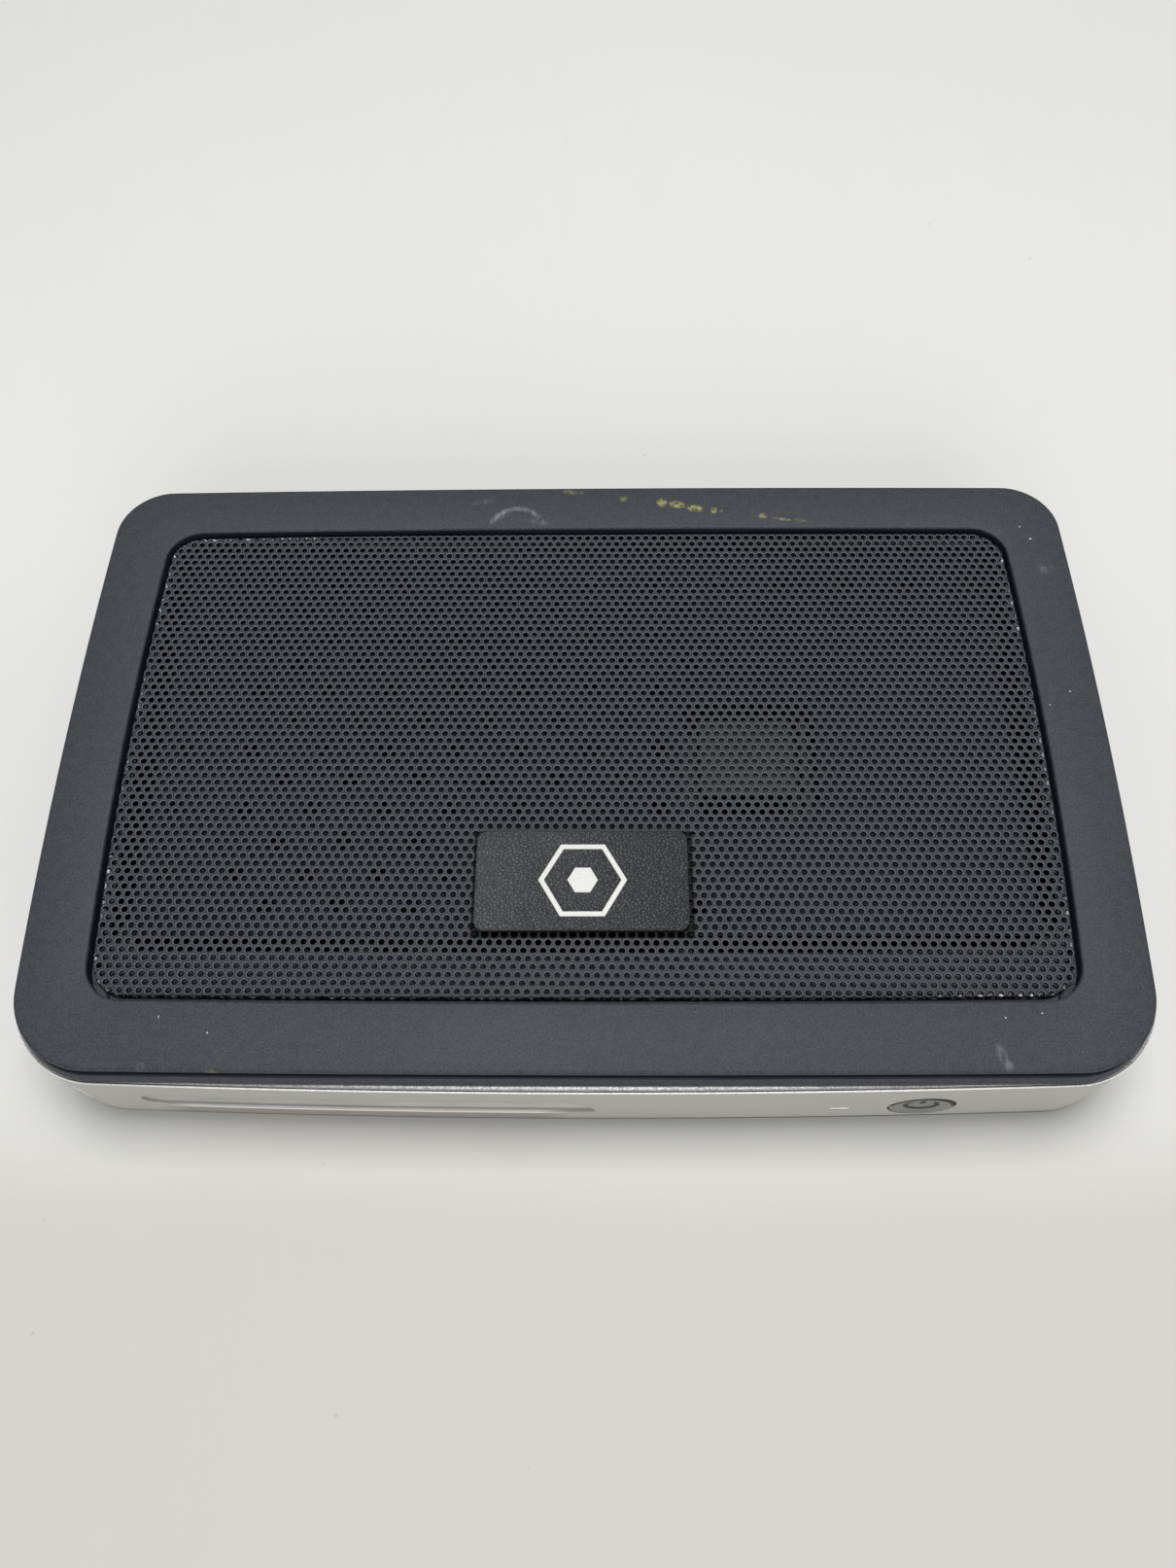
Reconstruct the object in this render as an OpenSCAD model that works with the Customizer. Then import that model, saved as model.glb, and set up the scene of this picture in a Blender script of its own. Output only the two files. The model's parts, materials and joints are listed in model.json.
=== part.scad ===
// Desktop thin client terminal: a low rounded box that lies on four rubber feet.
// A silver shell stands round the board, a black lid frames a perforated panel,
// and a shield plate, the board and its sockets sit inside.
// Units are millimetres. The origin is at the middle of the footprint, on the table.
// X is the width, Y points to the back with the rear sockets, Z is up.

/* [Body] */
// Width over the shell at mid depth
body_w = 178.4; // [174:0.2:180]
// Depth over the shell at mid width
body_d = 113; // [111:0.5:116]
// Height of the lid's top face above the table
body_h = 24; // [23.5:0.5:26]
// Radius of the shell's two front corners
corner_r = 14; // [13:0.5:16]
// How much tighter the back corners are than the front ones
back_tighter = 3.2; // [0:0.2:4]
// Bow of the front and back faces
bow_y = 1.8; // [0.8:0.1:2]
// Bow of the two ends
bow_x = 1.4; // [0.4:0.1:1.6]
// Wall thickness of the shell
wall = 2; // [1.8:0.1:2.2]
// Clear height under the shell
foot_h = 1.5; // [1:0.1:2]

/* [Lid] */
// Width of the lid's top face
lid_w = 174.1; // [173:0.1:174.6]
// Depth of the lid's top face
lid_d = 109.1; // [108:0.1:109.4]
// Bow of the lid's front and back edges
lid_bow = 0.6; // [0.4:0.1:1]
// How far the flange under the lid's neck steps out
flange = 1; // [0.6:0.1:1]
// How far the flange reaches out at the sides
flange_side = 0.4; // [0.3:0.05:1]
// Thickness of the lid's top face
lid_t = 2; // [1.6:0.1:2.2]
// Width of the opening that holds the perforated panel
open_w = 153.9; // [146:0.1:156]
// Depth of the same opening
open_d = 88.9; // [84:0.1:90]
// Bow of the opening's front and back edges
open_bow = 0.5; // [0.2:0.1:1]
// Gap between the panel and the opening
panel_gap = 0.5; // [0.4:0.1:1.2]
// Depth of the panel below the lid's top face
panel_drop = 1; // [0.6:0.1:1.2]
// Thickness of the panel
panel_t = 0.6; // [0.5:0.1:0.8]

/* [Badge] */
// Width of the badge plate
badge_w = 34; // [24:1:40]
// Depth of the badge plate
badge_d = 17.2; // [14:0.2:20]
// Distance of the badge's middle to the right of the body's middle
badge_x = 0.2; // [-1:0.1:1]
// Distance of the badge's middle in front of the body's middle
badge_y = 24; // [18:1:30]

/* [Shield] */
// Pitch of the shield's holes along the width
vent_pitch_x = 11.45; // [10.95:0.05:11.5]
// Pitch of the shield's rows of holes
vent_pitch_y = 5.65; // [5.45:0.05:5.7]
// Radius of one shield hole
vent_r = 1.5; // [1:0.1:1.6]

/* [Front] */
// Width of the port recess in the front face
recess_w = 71; // [66:1:72]
// Height of the port recess
recess_h = 6.8; // [6.6:0.1:7.4]
// Depth of the port recess
recess_dp = 5.6; // [5:0.1:5.8]
// Position of the power button along the width
button_x = 53; // [50:0.2:56]
// Radius of the power button
button_r = 5.1; // [4.4:0.1:5.2]

/* [Board] */
// Height of the board's top face above the table
board_top = 7; // [6.9:0.1:7.1]
// Thickness of the board
board_t = 1.6; // [1.2:0.1:1.6]

/* [Hidden] */
$fn = 48;
eps = 0.01;
shell_z1 = body_h - 4.4;
trim_z1 = shell_z1 + 0.75;
lid_z0 = trim_z1 + 0.05;
lid_under = body_h - lid_t;
panel_z1 = body_h - panel_drop;
ledge_z1 = body_h - 2.7;
shield_z1 = body_h - 3.4;
shield_t = 0.6;
open_y = 0.6;
cover_z1 = foot_h + 1.5;
recess_x = -33.5;
recess_z = 9.9;
button_z = 8.7;
led_x = 40.3;
led_z = 7.9;
usb_z = board_top;
usb_front = [-56, -38];
usb_rear = [4, 23];
jack_xs = [-21, -9];
lan_x = 47;
dc_x = 62;
video_x = -26;
lock_x = -62;
post_at = [[-75.5, -43.5], [75.5, -43.5], [-75.5, 43.5], [75.5, 43.5]];
shield_at = [[-75.4, -28], [75.4, -28], [-75.4, 30], [75.4, 30]];
board_at = [[4, -30], [-8, 32]];
stand_at = concat(shield_at, board_at);
foot_at = [[-66, -40], [66, -40], [-66, 40], [66, 40]];
heat_at = [27.4, -0.5];
shield_x = 71.8;
shield_y0 = -32.1;
shield_y1 = 41.6;

// One corner arc of a rounded rectangle, then the side that follows it
function arc_pts(a, b, r, q, n) = [for (i = [0:n]) let (t = 90 * (q + i / n))
  [(q == 0 || q == 3 ? 1 : -1) * (a - r) + r * cos(t), (q < 2 ? 1 : -1) * (b - r) + r * sin(t)]];
function mid_pts(p, k, m) = [for (i = [1:m - 1]) p + (k - p) * i / m];
function ring_pts(a, b, r, rb, n, m) = [for (q = [0:3])
  let (here = arc_pts(a, b, q < 2 ? rb : r, q, n), next = q == 0 || q == 3 ? rb : r)
  each concat(here, mid_pts(here[n], arc_pts(a, b, next, (q + 1) % 4, n)[0], m))];
// Bows the four sides outward
function bowed(p, a, b, by) = [p.x * (1 + bow_x / a * (1 - pow(p.y / b, 2))),
  p.y * (1 + by / b * (1 - pow(p.x / a, 2)))];
function outline_pts(w, d, r, rb, by, t) = let (a = w / 2 - bow_x - t, b = d / 2 - by - t)
  [for (p = ring_pts(a, b, r - t, rb - t, 9, 8)) bowed(p, a, b, by)];
// Depth of the shell's outer face at a place along the width
function face_y(x) = body_d / 2 - bow_y + bow_y * (1 - pow(x / (body_w / 2), 2));

// The shell's outline, a given distance inside its outer face
module outline(t) {
  polygon(outline_pts(body_w, body_d, corner_r, corner_r - back_tighter, bow_y, t));
}

// The lid's outline, a given distance inside the edge of its top face
module lid_outline(t) {
  polygon(outline_pts(lid_w, lid_d, 12.2, 12.2 - back_tighter, lid_bow, t));
}

// The flange's outline, which reaches further out in front and behind than at the sides
module flange_outline(t) {
  polygon(outline_pts(lid_w + 2 * flange_side, lid_d + 2 * flange, 13.2, 13.2 - back_tighter, lid_bow, t));
}

// The outline of the lid's opening, a given distance inside its edge
module opening(t) {
  translate([0, open_y]) polygon(outline_pts(open_w, open_d, 5.6, 5.6, open_bow, t));
}

// A ring between two insets of the lid's outline
module lid_band(t0, t1, z0, z1) {
  translate([0, 0, z0]) linear_extrude(z1 - z0) difference() {
    lid_outline(t0);
    lid_outline(t1);
  }
}

// A ring between two insets of the outline
module band(t0, t1, z0, z1) {
  translate([0, 0, z0]) linear_extrude(z1 - z0) difference() {
    outline(t0);
    outline(t1);
  }
}

// A rounded rectangle made from exact circles and squares
module round_rect(w, d, r) {
  union() {
    square([w - 2 * r, d], center = true);
    square([w, d - 2 * r], center = true);
    for (sx = [-1, 1]) for (sy = [-1, 1]) {
      translate([sx * (w / 2 - r), sy * (d / 2 - r)]) circle(r);
    }
  }
}

// A cylinder along Y from y0 to y1
module y_rod(x, z, y0, y1, r) {
  translate([x, y0, z]) rotate([-90, 0, 0]) cylinder(h = y1 - y0, r = r);
}

// A rounded slot that is cut along Y
module y_slot(x, z, w, h, r, y0, y1) {
  translate([x, y1, z]) rotate([90, 0, 0]) linear_extrude(y1 - y0) round_rect(w, h, r);
}

// A block from one corner to the opposite one
module block(p, q) {
  translate(p) cube(q - p);
}

module shell() {
  color([0.76, 0.77, 0.77]) difference() {
    union() {
      band(0, wall, foot_h, shell_z1);
      // pocket behind the port recess
      block([recess_x - recess_w / 2 - 1.4, -body_d / 2 + 1.9, 5.2],
            [recess_x + recess_w / 2 + 1.4, -body_d / 2 + recess_dp + 1.6, 14.6]);
      // corner posts for the long case screws
      for (p = post_at) {
        translate([p.x, p.y, 3.6]) cylinder(h = 12.4, r = 3.6);
        translate([p.x, p.y, 4.4]) rotate([0, 0, atan2(p.y, p.x) + (p.x * p.y > 0 ? 12 : -12)])
          translate([0, -0.8, 0]) cube([9.2, 1.6, 10.6]);
      }
      // ribs that guide the power button's ears
      block([button_x - 7.2, -54.6, 5.1], [button_x + 7.2, -51.4, 6.1]);
      block([button_x - 7.2, -54.6, 11.3], [button_x + 7.2, -51.4, 12.3]);
    }
    // port recess with round ends
    y_slot(recess_x, recess_z, recess_w, recess_h, recess_h / 2 - 0.1, -60, -body_d / 2 + recess_dp);
    // the face falls back in three steps under the recess
    for (i = [1:3]) intersection() {
      band(-1, 0.12 * i, 0, recess_z - recess_h / 2 - 1.4 * i + 1);
      block([recess_x - recess_w / 2 + 3 + i, -60, 0], [recess_x + recess_w / 2 - 3 - i, -40, 8]);
    }
    // socket holes in the recess
    for (x = usb_front) y_slot(x, usb_z + 2.85, 13.5, 6, 0.6, -52, -48);
    for (x = jack_xs) y_rod(x, usb_z + 2.85, -52, -48, 3.2);
    // button bore and lamp window
    y_rod(button_x, button_z, -60, -50, button_r + 0.1);
    y_slot(led_x, led_z, 3.3, 1.7, 0.5, -60, -50);
    // rear socket holes
    for (x = usb_rear) y_slot(x, usb_z + 2.85, 13.5, 6, 0.6, 50, 60);
    y_slot(lan_x, 12.9, 14.2, 10.2, 0.6, 50, 60);
    y_slot(video_x, 13, 38.8, 10.6, 1, 50, 60);
    y_rod(dc_x, 12.4, 50, 60, 4.2);
    y_slot(lock_x, 11, 7.4, 3.4, 0.8, 50, 60);
    // bores for the case screws
    for (p = post_at) translate([p.x, p.y, 0]) cylinder(h = 30, r = 1.7);
  }
}

module trim_ring() {
  color([0.82, 0.83, 0.83]) union() {
    band(0.3, 2.4, shell_z1, trim_z1);
    band(2.1, 3.1, shell_z1 - 1.2, trim_z1);
  }
}

module lid_frame() {
  color([0.16, 0.17, 0.18]) difference() {
    union() {
      // flange that steps outward towards the trim ring
      for (i = [0:5]) translate([0, 0, lid_z0 + 0.3 * i]) linear_extrude(0.3) difference() {
        flange_outline(0.12 * i);
        lid_outline(2);
      }
      // neck, then the top frame
      translate([0, 0, lid_under]) linear_extrude(1) lid_outline(0.5);
      translate([0, 0, body_h - 1]) linear_extrude(1) lid_outline(0);
      lid_band(0.5, 2, lid_z0, lid_under + 0.5);
      // upright wall and ledge round the opening
      translate([0, 0, ledge_z1 - 0.55]) linear_extrude(lid_under - ledge_z1 + 0.6) opening(-1.3);
      // bosses for the case screws
      for (p = post_at) translate([p.x, p.y, 16.1]) cylinder(h = lid_under - 16, r = 3.4);
    }
    translate([0, 0, ledge_z1]) linear_extrude(10) opening(0);
    translate([0, open_y + 3.65, 10]) linear_extrude(20)
      polygon(outline_pts(open_w - 3, open_d - 10.3, 4.2, 4.2, open_bow, 0));
    for (p = post_at) translate([p.x, p.y, 10]) cylinder(h = lid_under - 10, r = 1.5);
  }
}

module grille() {
  color([0.27, 0.28, 0.3]) difference() {
    union() {
      translate([0, 0, panel_z1 - panel_t]) linear_extrude(panel_t) opening(panel_gap);
      translate([0, 0, ledge_z1]) linear_extrude(panel_z1 - panel_t - ledge_z1 + eps)
        difference() {
          opening(panel_gap);
          opening(panel_gap + 0.6);
        }
    }
    for (s = [-1, 1]) translate([badge_x + s * 12, -badge_y, 20]) cylinder(h = 5, r = 0.8);
  }
}

module badge_plate() {
  color([0.2, 0.2, 0.22]) union() {
    translate([badge_x, -badge_y, panel_z1]) linear_extrude(0.8) round_rect(badge_w, badge_d, 1.2);
    // pins that locate the plate in the panel
    for (s = [-1, 1]) translate([badge_x + s * 12, -badge_y, panel_z1 - 1.6]) cylinder(h = 1.8, r = 0.72);
  }
}

module badge_mark() {
  color([0.85, 0.86, 0.86]) translate([badge_x, -badge_y, panel_z1 + 0.8]) linear_extrude(0.15) union() {
    difference() {
      circle(7, $fn = 6);
      circle(6.1, $fn = 6);
    }
    circle(2.4, $fn = 6);
  }
}

module shield() {
  color([0.3, 0.31, 0.33]) union() {
    translate([0, 0, shield_z1 - shield_t]) linear_extrude(shield_t) difference() {
      translate([-shield_x, shield_y0]) square([2 * shield_x, shield_y1 - shield_y0]);
      // staggered vent holes over the board
      for (k = [-5:5]) for (i = [-7 + (k + 6) % 2:0]) {
        translate(vent_at(i, k)) circle(vent_r);
      }
      for (i = [-5:5]) translate(vent_at(i, 6)) circle(vent_r);
      // window for the heat sink's pedestal
      translate([28, -0.8]) round_rect(22.5, 22.3, 4);
    }
    // down-turned front and back edges
    for (y = [shield_y0, shield_y1 - shield_t]) {
      translate([-66, y, shield_z1 - 2]) cube([132, shield_t, 1.9]);
    }
    // legs and feet that stand on the board
    for (p = shield_at) {
      translate([p.x > 0 ? shield_x - shield_t : -shield_x, p.y - 4, board_top])
        cube([shield_t, 8, shield_z1 - board_top - 0.1]);
      translate([0, 0, board_top]) linear_extrude(0.6) difference() {
        translate([p.x > 0 ? shield_x - shield_t : -shield_x - 6.6, p.y - 4]) square([6.6 + shield_t, 8]);
        translate([p.x, p.y]) circle(1.6);
      }
    }
  }
}

// Place of one shield hole
function vent_at(i, k) = [12.7 + (i + (k % 2 == 0 ? 0 : 0.5)) * vent_pitch_x, 1.1 + k * vent_pitch_y];

module shield_screws() {
  color([0.8, 0.8, 0.8]) for (p = shield_at) translate([p.x, p.y, 0]) screw(board_top + 0.6);
}

module board_screws() {
  color([0.8, 0.8, 0.8]) for (p = board_at) translate([p.x, p.y, 0]) screw(board_top);
}

// One M3 screw with a flat round head; z is the underside of the head
module screw(z) {
  difference() {
    union() {
      translate([0, 0, z]) cylinder(h = 1.9, r = 2.8);
      translate([0, 0, board_top - 4.2]) cylinder(h = z - board_top + 4.3, r = 1.42);
    }
    translate([0, 0, z + 0.9]) cross_cut(2.8, 0.6, 2);
  }
}

// Cross-shaped driver recess
module cross_cut(l, w, h) {
  translate([-l / 2, -w / 2, 0]) cube([l, w, h]);
  translate([-w / 2, -l / 2, 0]) cube([w, l, h]);
}

module bottom_cover() {
  color([0.2, 0.2, 0.21]) difference() {
    union() {
      translate([0, 0, foot_h]) linear_extrude(cover_z1 - foot_h) outline(wall + 0.3);
      for (p = post_at) translate([p.x, p.y, foot_h]) cylinder(h = 3.6 - foot_h, r = 4.6);
      for (p = foot_at) translate([p.x, p.y, foot_h]) cylinder(h = 2.1, r = 7.2);
    }
    for (p = foot_at) translate([p.x, p.y, 0]) cylinder(h = foot_h + 0.9, r = 6.1);
    for (p = post_at) {
      translate([p.x, p.y, 0]) cylinder(h = 5, r = 1.7);
      translate([p.x, p.y, 0]) cylinder(h = foot_h + 1.3, r = 3.1);
    }
    for (p = stand_at) translate([p.x, p.y, 0]) cylinder(h = 5, r = 2);
    // rows of intake slots
    for (i = [-5:5]) for (s = [-1, 1]) {
      translate([i * 8 + 4, s * 13 + 12, 0]) linear_extrude(6) round_rect(2.6, 20, 1.2);
    }
    // shallow bed for the label
    translate([-34, -36.5, 0]) cube([68, 18, foot_h + 0.2]);
  }
}

module rating_label() {
  color([0.85, 0.85, 0.83]) block([-33.6, -36.1, foot_h + 0.06], [33.6, -18.9, foot_h + 0.2]);
}

module feet() {
  color([0.1, 0.1, 0.1]) for (p = foot_at) translate([p.x, p.y, 0]) {
    cylinder(h = foot_h + 0.9, r = 6);
  }
}

module case_screws() {
  color([0.6, 0.6, 0.62]) for (p = post_at) translate([p.x, p.y, 0]) difference() {
    union() {
      translate([0, 0, foot_h + 0.1]) cylinder(h = 1.2, r = 2.8);
      translate([0, 0, foot_h + 1.2]) cylinder(h = 17.6, r = 1.42);
    }
    cross_cut(2.8, 0.6, foot_h + 0.8);
  }
}

module standoffs() {
  color([0.8, 0.65, 0.3]) for (p = stand_at) translate([p.x, p.y, 0]) difference() {
    union() {
      translate([0, 0, cover_z1]) cylinder(h = board_top - board_t - cover_z1, r = 3, $fn = 6);
      translate([0, 0, foot_h + 0.3]) cylinder(h = cover_z1 - foot_h, r = 1.95);
    }
    translate([0, 0, foot_h + 0.9]) cylinder(h = 8, r = 1.5);
  }
}

module main_board() {
  color([0.08, 0.3, 0.16]) translate([0, 0, board_top - board_t]) linear_extrude(board_t) difference() {
    translate([-79, -48.6]) square([158, 101.6]);
    for (p = post_at) translate([p.x + sign(p.x) * 6, p.y + sign(p.y) * 6]) square([22, 22], center = true);
    for (p = stand_at) translate([p.x, p.y]) circle(1.6);
  }
}

module processor() {
  color([0.25, 0.3, 0.28]) translate([heat_at.x, heat_at.y, board_top]) union() {
    translate([-12, -12, 0]) cube([24, 24, 1.2]);
    translate([-7, -7, 1.1]) cube([14, 14, 0.9]);
  }
}

module thermal_pad() {
  color([0.6, 0.6, 0.62]) translate([heat_at.x - 7.2, heat_at.y - 7.2, board_top + 2])
    cube([14.4, 14.4, 0.8]);
}

module heat_sink() {
  z0 = board_top + 2.8;
  color([0.3, 0.32, 0.32]) translate([heat_at.x, heat_at.y, z0]) union() {
    translate([-19, -19, 0]) cube([38, 38, 2]);
    // pedestal that reaches the shield's window
    translate([-7.7, -7.2, 1.9]) cube([15.4, 14.4, shield_z1 - 0.2 - z0 - 1.9]);
    // straight fins on both sides of the pedestal
    for (i = [0:3]) for (s = [-1, 1]) {
      translate([s * (10.4 + i * 2.6) - 0.5, -19, 1.9]) cube([1, 38, 5.2]);
    }
  }
}

module memory_chips() {
  color([0.12, 0.12, 0.13]) for (x = [-18, -4]) for (y = [-16, 4]) {
    translate([x - 5, y - 6, board_top]) cube([10, 12, 1.1]);
  }
}

module flash_module() {
  color([0.12, 0.12, 0.13]) union() {
    translate([-50, -20, board_top]) cube([18, 12, 1.2]);
    for (i = [0:7]) for (s = [0, 1]) {
      translate([-50.8 + s * 18.8, -19 + i * 1.4, board_top]) cube([1, 0.5, 0.5]);
    }
  }
}

module lan_magnetics() {
  color([0.14, 0.14, 0.15]) translate([lan_x - 8, 26, board_top]) cube([16, 9.6, 5.4]);
}

module inductors() {
  color([0.3, 0.3, 0.32]) for (p = [[62, 6], [62, 16], [54, 21]]) {
    translate([p.x - 3.4, p.y - 3.4, board_top]) cube([6.8, 6.8, 3.8]);
  }
}

module capacitors() {
  color([0.7, 0.7, 0.72]) for (p = [[64, -4], [64, -12], [56, -12], [56, -24]]) {
    translate([p.x - 3.3, p.y - 3.3, board_top]) cube([6.6, 6.6, 0.8]);
    translate([p.x, p.y, board_top + 0.7]) cylinder(h = 6, r = 3.15);
  }
}

module cell_holder() {
  color([0.15, 0.15, 0.16]) translate([-50, 12, board_top]) difference() {
    cylinder(h = 4.2, r = 12);
    translate([0, 0, 0.8]) cylinder(h = 4, r = 10.3);
    translate([-4, -13, 0.8]) cube([8, 6, 4]);
  }
}

module coin_cell() {
  color([0.8, 0.8, 0.8]) translate([-50, 12, board_top + 0.8]) union() {
    cylinder(h = 2.6, r = 10);
    translate([0, 0, 2.5]) cylinder(h = 0.6, r = 8.6);
  }
}

// One USB type A receptacle; the mouth is at y = 0 and points towards -Y
module usb_can() {
  difference() {
    translate([-6.6, 0, 0]) cube([13.2, 14, 5.7]);
    translate([-6.25, -1, 0.35]) cube([12.5, 13.4, 5]);
  }
}

module usb_tongue() {
  translate([-5.55, 1.2, 2.75]) cube([11.1, 11.2, 1.9]);
  translate([-6.15, 11.4, 0.45]) cube([12.3, 1, 4.8]);
}

module usb_shells() {
  color([0.78, 0.78, 0.78]) union() {
    for (x = usb_front) translate([x, -50.4, usb_z]) usb_can();
    for (x = usb_rear) translate([x, 55.3, usb_z]) rotate([0, 0, 180]) usb_can();
  }
}

module usb_tongues() {
  color([0.08, 0.08, 0.09]) union() {
    for (x = usb_front) translate([x, -50.4, usb_z]) usb_tongue();
    for (x = usb_rear) translate([x, 55.3, usb_z]) rotate([0, 0, 180]) usb_tongue();
  }
}

module audio_jacks() {
  color([0.13, 0.13, 0.14]) for (x = jack_xs) difference() {
    union() {
      translate([x - 3.6, -48.4, board_top]) cube([7.2, 13, 6]);
      y_rod(x, usb_z + 2.85, -50.4, -48, 2.8);
    }
    y_rod(x, usb_z + 2.85, -52, -36.6, 1.8);
  }
}

module lan_jack() {
  color([0.75, 0.75, 0.74]) translate([lan_x, 53.2, board_top]) difference() {
    translate([-8, -15.4, 0]) cube([16, 15.4, 11.4]);
    translate([-6, -11.6, 3.2]) cube([12, 20, 6.8]);
    translate([-3.2, -11.6, 1.2]) cube([6.4, 20, 4]);
  }
}

module lan_contacts() {
  color([0.85, 0.7, 0.35]) for (i = [0:7]) {
    translate([lan_x - 3.73 + i * 1.02, 41.62, board_top + 8.4]) rotate([-16, 0, 0]) cube([0.4, 7.4, 0.3]);
  }
}

module video_shell() {
  color([0.76, 0.76, 0.75]) union() {
    translate([video_x, 53.3, 13]) rotate([90, 0, 0]) linear_extrude(0.8) difference() {
      round_rect(37.6, 9.9, 0.8);
      round_rect(24, 7.6, 1.6);
      for (s = [-1, 1]) translate([s * 15.4, 0]) circle(1.6);
    }
    translate([video_x, 56.2, 13]) rotate([90, 0, 0]) linear_extrude(2.91) difference() {
      round_rect(24.8, 8.4, 2);
      round_rect(24, 7.6, 1.6);
    }
  }
}

module video_insert() {
  color([0.92, 0.92, 0.9]) difference() {
    union() {
      translate([video_x - 13, 42, board_top]) cube([26, 10.4, 10.6]);
      y_slot(video_x, 13, 23.2, 6.8, 1.2, 52, 55.2);
    }
    // contact wells
    for (i = [0:7]) for (j = [-1:1]) {
      y_rod(video_x - 9.6 + i * 1.9, 13 + j * 1.9, 50.4, 57, 0.5);
    }
    translate([video_x + 8.2, 51, 12.7]) cube([4, 6, 0.6]);
  }
}

module jack_posts() {
  color([0.72, 0.72, 0.7]) for (s = [-1, 1]) difference() {
    union() {
      translate([video_x + s * 15.4, 53.3, 13]) rotate([-90, 0, 0]) cylinder(h = 3, r = 2.5, $fn = 6);
      y_rod(video_x + s * 15.4, 13, 49.8, 53.4, 1.45);
    }
    y_rod(video_x + s * 15.4, 13, 51.4, 58, 1.1);
  }
}

module dc_jack() {
  color([0.1, 0.1, 0.1]) difference() {
    union() {
      translate([dc_x - 4.6, 39.4, board_top]) cube([9.2, 13.6, 10.6]);
      y_rod(dc_x, 12.4, 52.9, 54.6, 4);
    }
    y_rod(dc_x, 12.4, 43.4, 58, 3.1);
    y_rod(dc_x, 12.4, 41, 44, 1.02);
  }
}

module dc_pin() {
  color([0.8, 0.8, 0.78]) y_rod(dc_x, 12.4, 41.2, 52.6, 1);
}

module lock_bracket() {
  color([0.7, 0.7, 0.72]) union() {
    difference() {
      block([lock_x - 7, 52.2, board_top], [lock_x + 7, 53, 16]);
      y_slot(lock_x, 11, 7, 3, 0.8, 50, 56);
    }
    block([lock_x - 7, 44.6, board_top], [lock_x + 7, 52.3, board_top + 0.8]);
  }
}

module power_button() {
  y0 = -face_y(button_x) - 0.08;
  color([0.55, 0.56, 0.57]) difference() {
    union() {
      y_rod(button_x, button_z, y0, -52.6, button_r);
      // ears that keep the button in the shell
      block([button_x - 7.2, -53.6, 6.2], [button_x + 7.2, -52.4, 11.2]);
      // post that meets the switch
      y_rod(button_x, button_z, -52.6, -49.42, 1.4);
    }
    // finger dish
    translate([button_x, y0 - 21.5, button_z]) sphere(r = 22, $fn = 96);
    // engraved power sign
    difference() {
      y_rod(button_x, button_z, y0 - 1, y0 + 0.75, 2.3);
      y_rod(button_x, button_z, y0 - 2, y0 + 2, 1.85);
      translate([button_x - 0.9, y0 - 2, button_z]) cube([1.8, 4, 4]);
    }
    translate([button_x - 0.25, y0 - 1, button_z + 0.5]) cube([0.5, 1.75, 2.2]);
  }
}

module switch_body() {
  color([0.15, 0.15, 0.16]) difference() {
    translate([button_x - 3, -48.4, board_top]) cube([6, 3.6, 3.5]);
    translate([button_x - 1.35, -49, button_z - 0.8]) cube([2.7, 2.6, 1.6]);
  }
}

module switch_plunger() {
  color([0.9, 0.9, 0.88]) translate([button_x - 1.3, -49.4, button_z - 0.75]) cube([2.6, 2.3, 1.5]);
}

module power_led() {
  color([0.9, 0.92, 0.8]) block([led_x - 0.8, -48.2, board_top], [led_x + 0.8, -47.4, board_top + 1.8]);
}

module light_pipe() {
  y0 = -face_y(led_x) + 0.15;
  color([0.9, 0.92, 0.92]) union() {
    y_slot(led_x, led_z, 3.1, 1.5, 0.4, y0, -53);
    block([led_x - 2.2, -53.2, led_z - 0.9], [led_x + 2.2, -48.3, led_z + 0.9]);
  }
}

shell();
trim_ring();
lid_frame();
grille();
badge_plate();
badge_mark();
shield();
shield_screws();
bottom_cover();
feet();
case_screws();
standoffs();
board_screws();
main_board();
processor();
thermal_pad();
heat_sink();
memory_chips();
flash_module();
lan_magnetics();
inductors();
capacitors();
cell_holder();
coin_cell();
usb_shells();
usb_tongues();
audio_jacks();
lan_jack();
lan_contacts();
video_shell();
video_insert();
jack_posts();
dc_jack();
dc_pin();
lock_bracket();
power_button();
switch_body();
switch_plunger();
power_led();
light_pipe();
rating_label();
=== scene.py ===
"""Looks of a desktop thin client terminal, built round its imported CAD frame.

Lengths here are millimetres in the frame's own axes. They become metres where a mesh,
a light or a texture is made.
"""

import json
import math

import bmesh
import bpy
import numpy as np
from mathutils import Matrix, Vector


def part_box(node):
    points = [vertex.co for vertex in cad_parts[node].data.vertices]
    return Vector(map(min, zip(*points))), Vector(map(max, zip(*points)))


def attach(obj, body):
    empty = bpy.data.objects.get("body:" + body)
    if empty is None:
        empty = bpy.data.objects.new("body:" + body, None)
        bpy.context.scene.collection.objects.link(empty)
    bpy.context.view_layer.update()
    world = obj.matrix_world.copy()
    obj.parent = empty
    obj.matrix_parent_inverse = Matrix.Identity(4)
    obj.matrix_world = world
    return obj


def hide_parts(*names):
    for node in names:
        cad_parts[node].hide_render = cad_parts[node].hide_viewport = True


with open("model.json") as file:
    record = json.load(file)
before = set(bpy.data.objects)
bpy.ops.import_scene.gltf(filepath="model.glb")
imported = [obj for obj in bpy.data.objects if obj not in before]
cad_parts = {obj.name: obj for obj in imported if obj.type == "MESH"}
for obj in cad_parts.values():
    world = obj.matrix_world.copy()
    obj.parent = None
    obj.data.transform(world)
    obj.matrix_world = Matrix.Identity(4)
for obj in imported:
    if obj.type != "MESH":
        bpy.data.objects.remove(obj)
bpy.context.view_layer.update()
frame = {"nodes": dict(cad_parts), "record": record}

MM = 0.001


# ---------------------------------------------------------------- sizes taken from the frame


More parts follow.
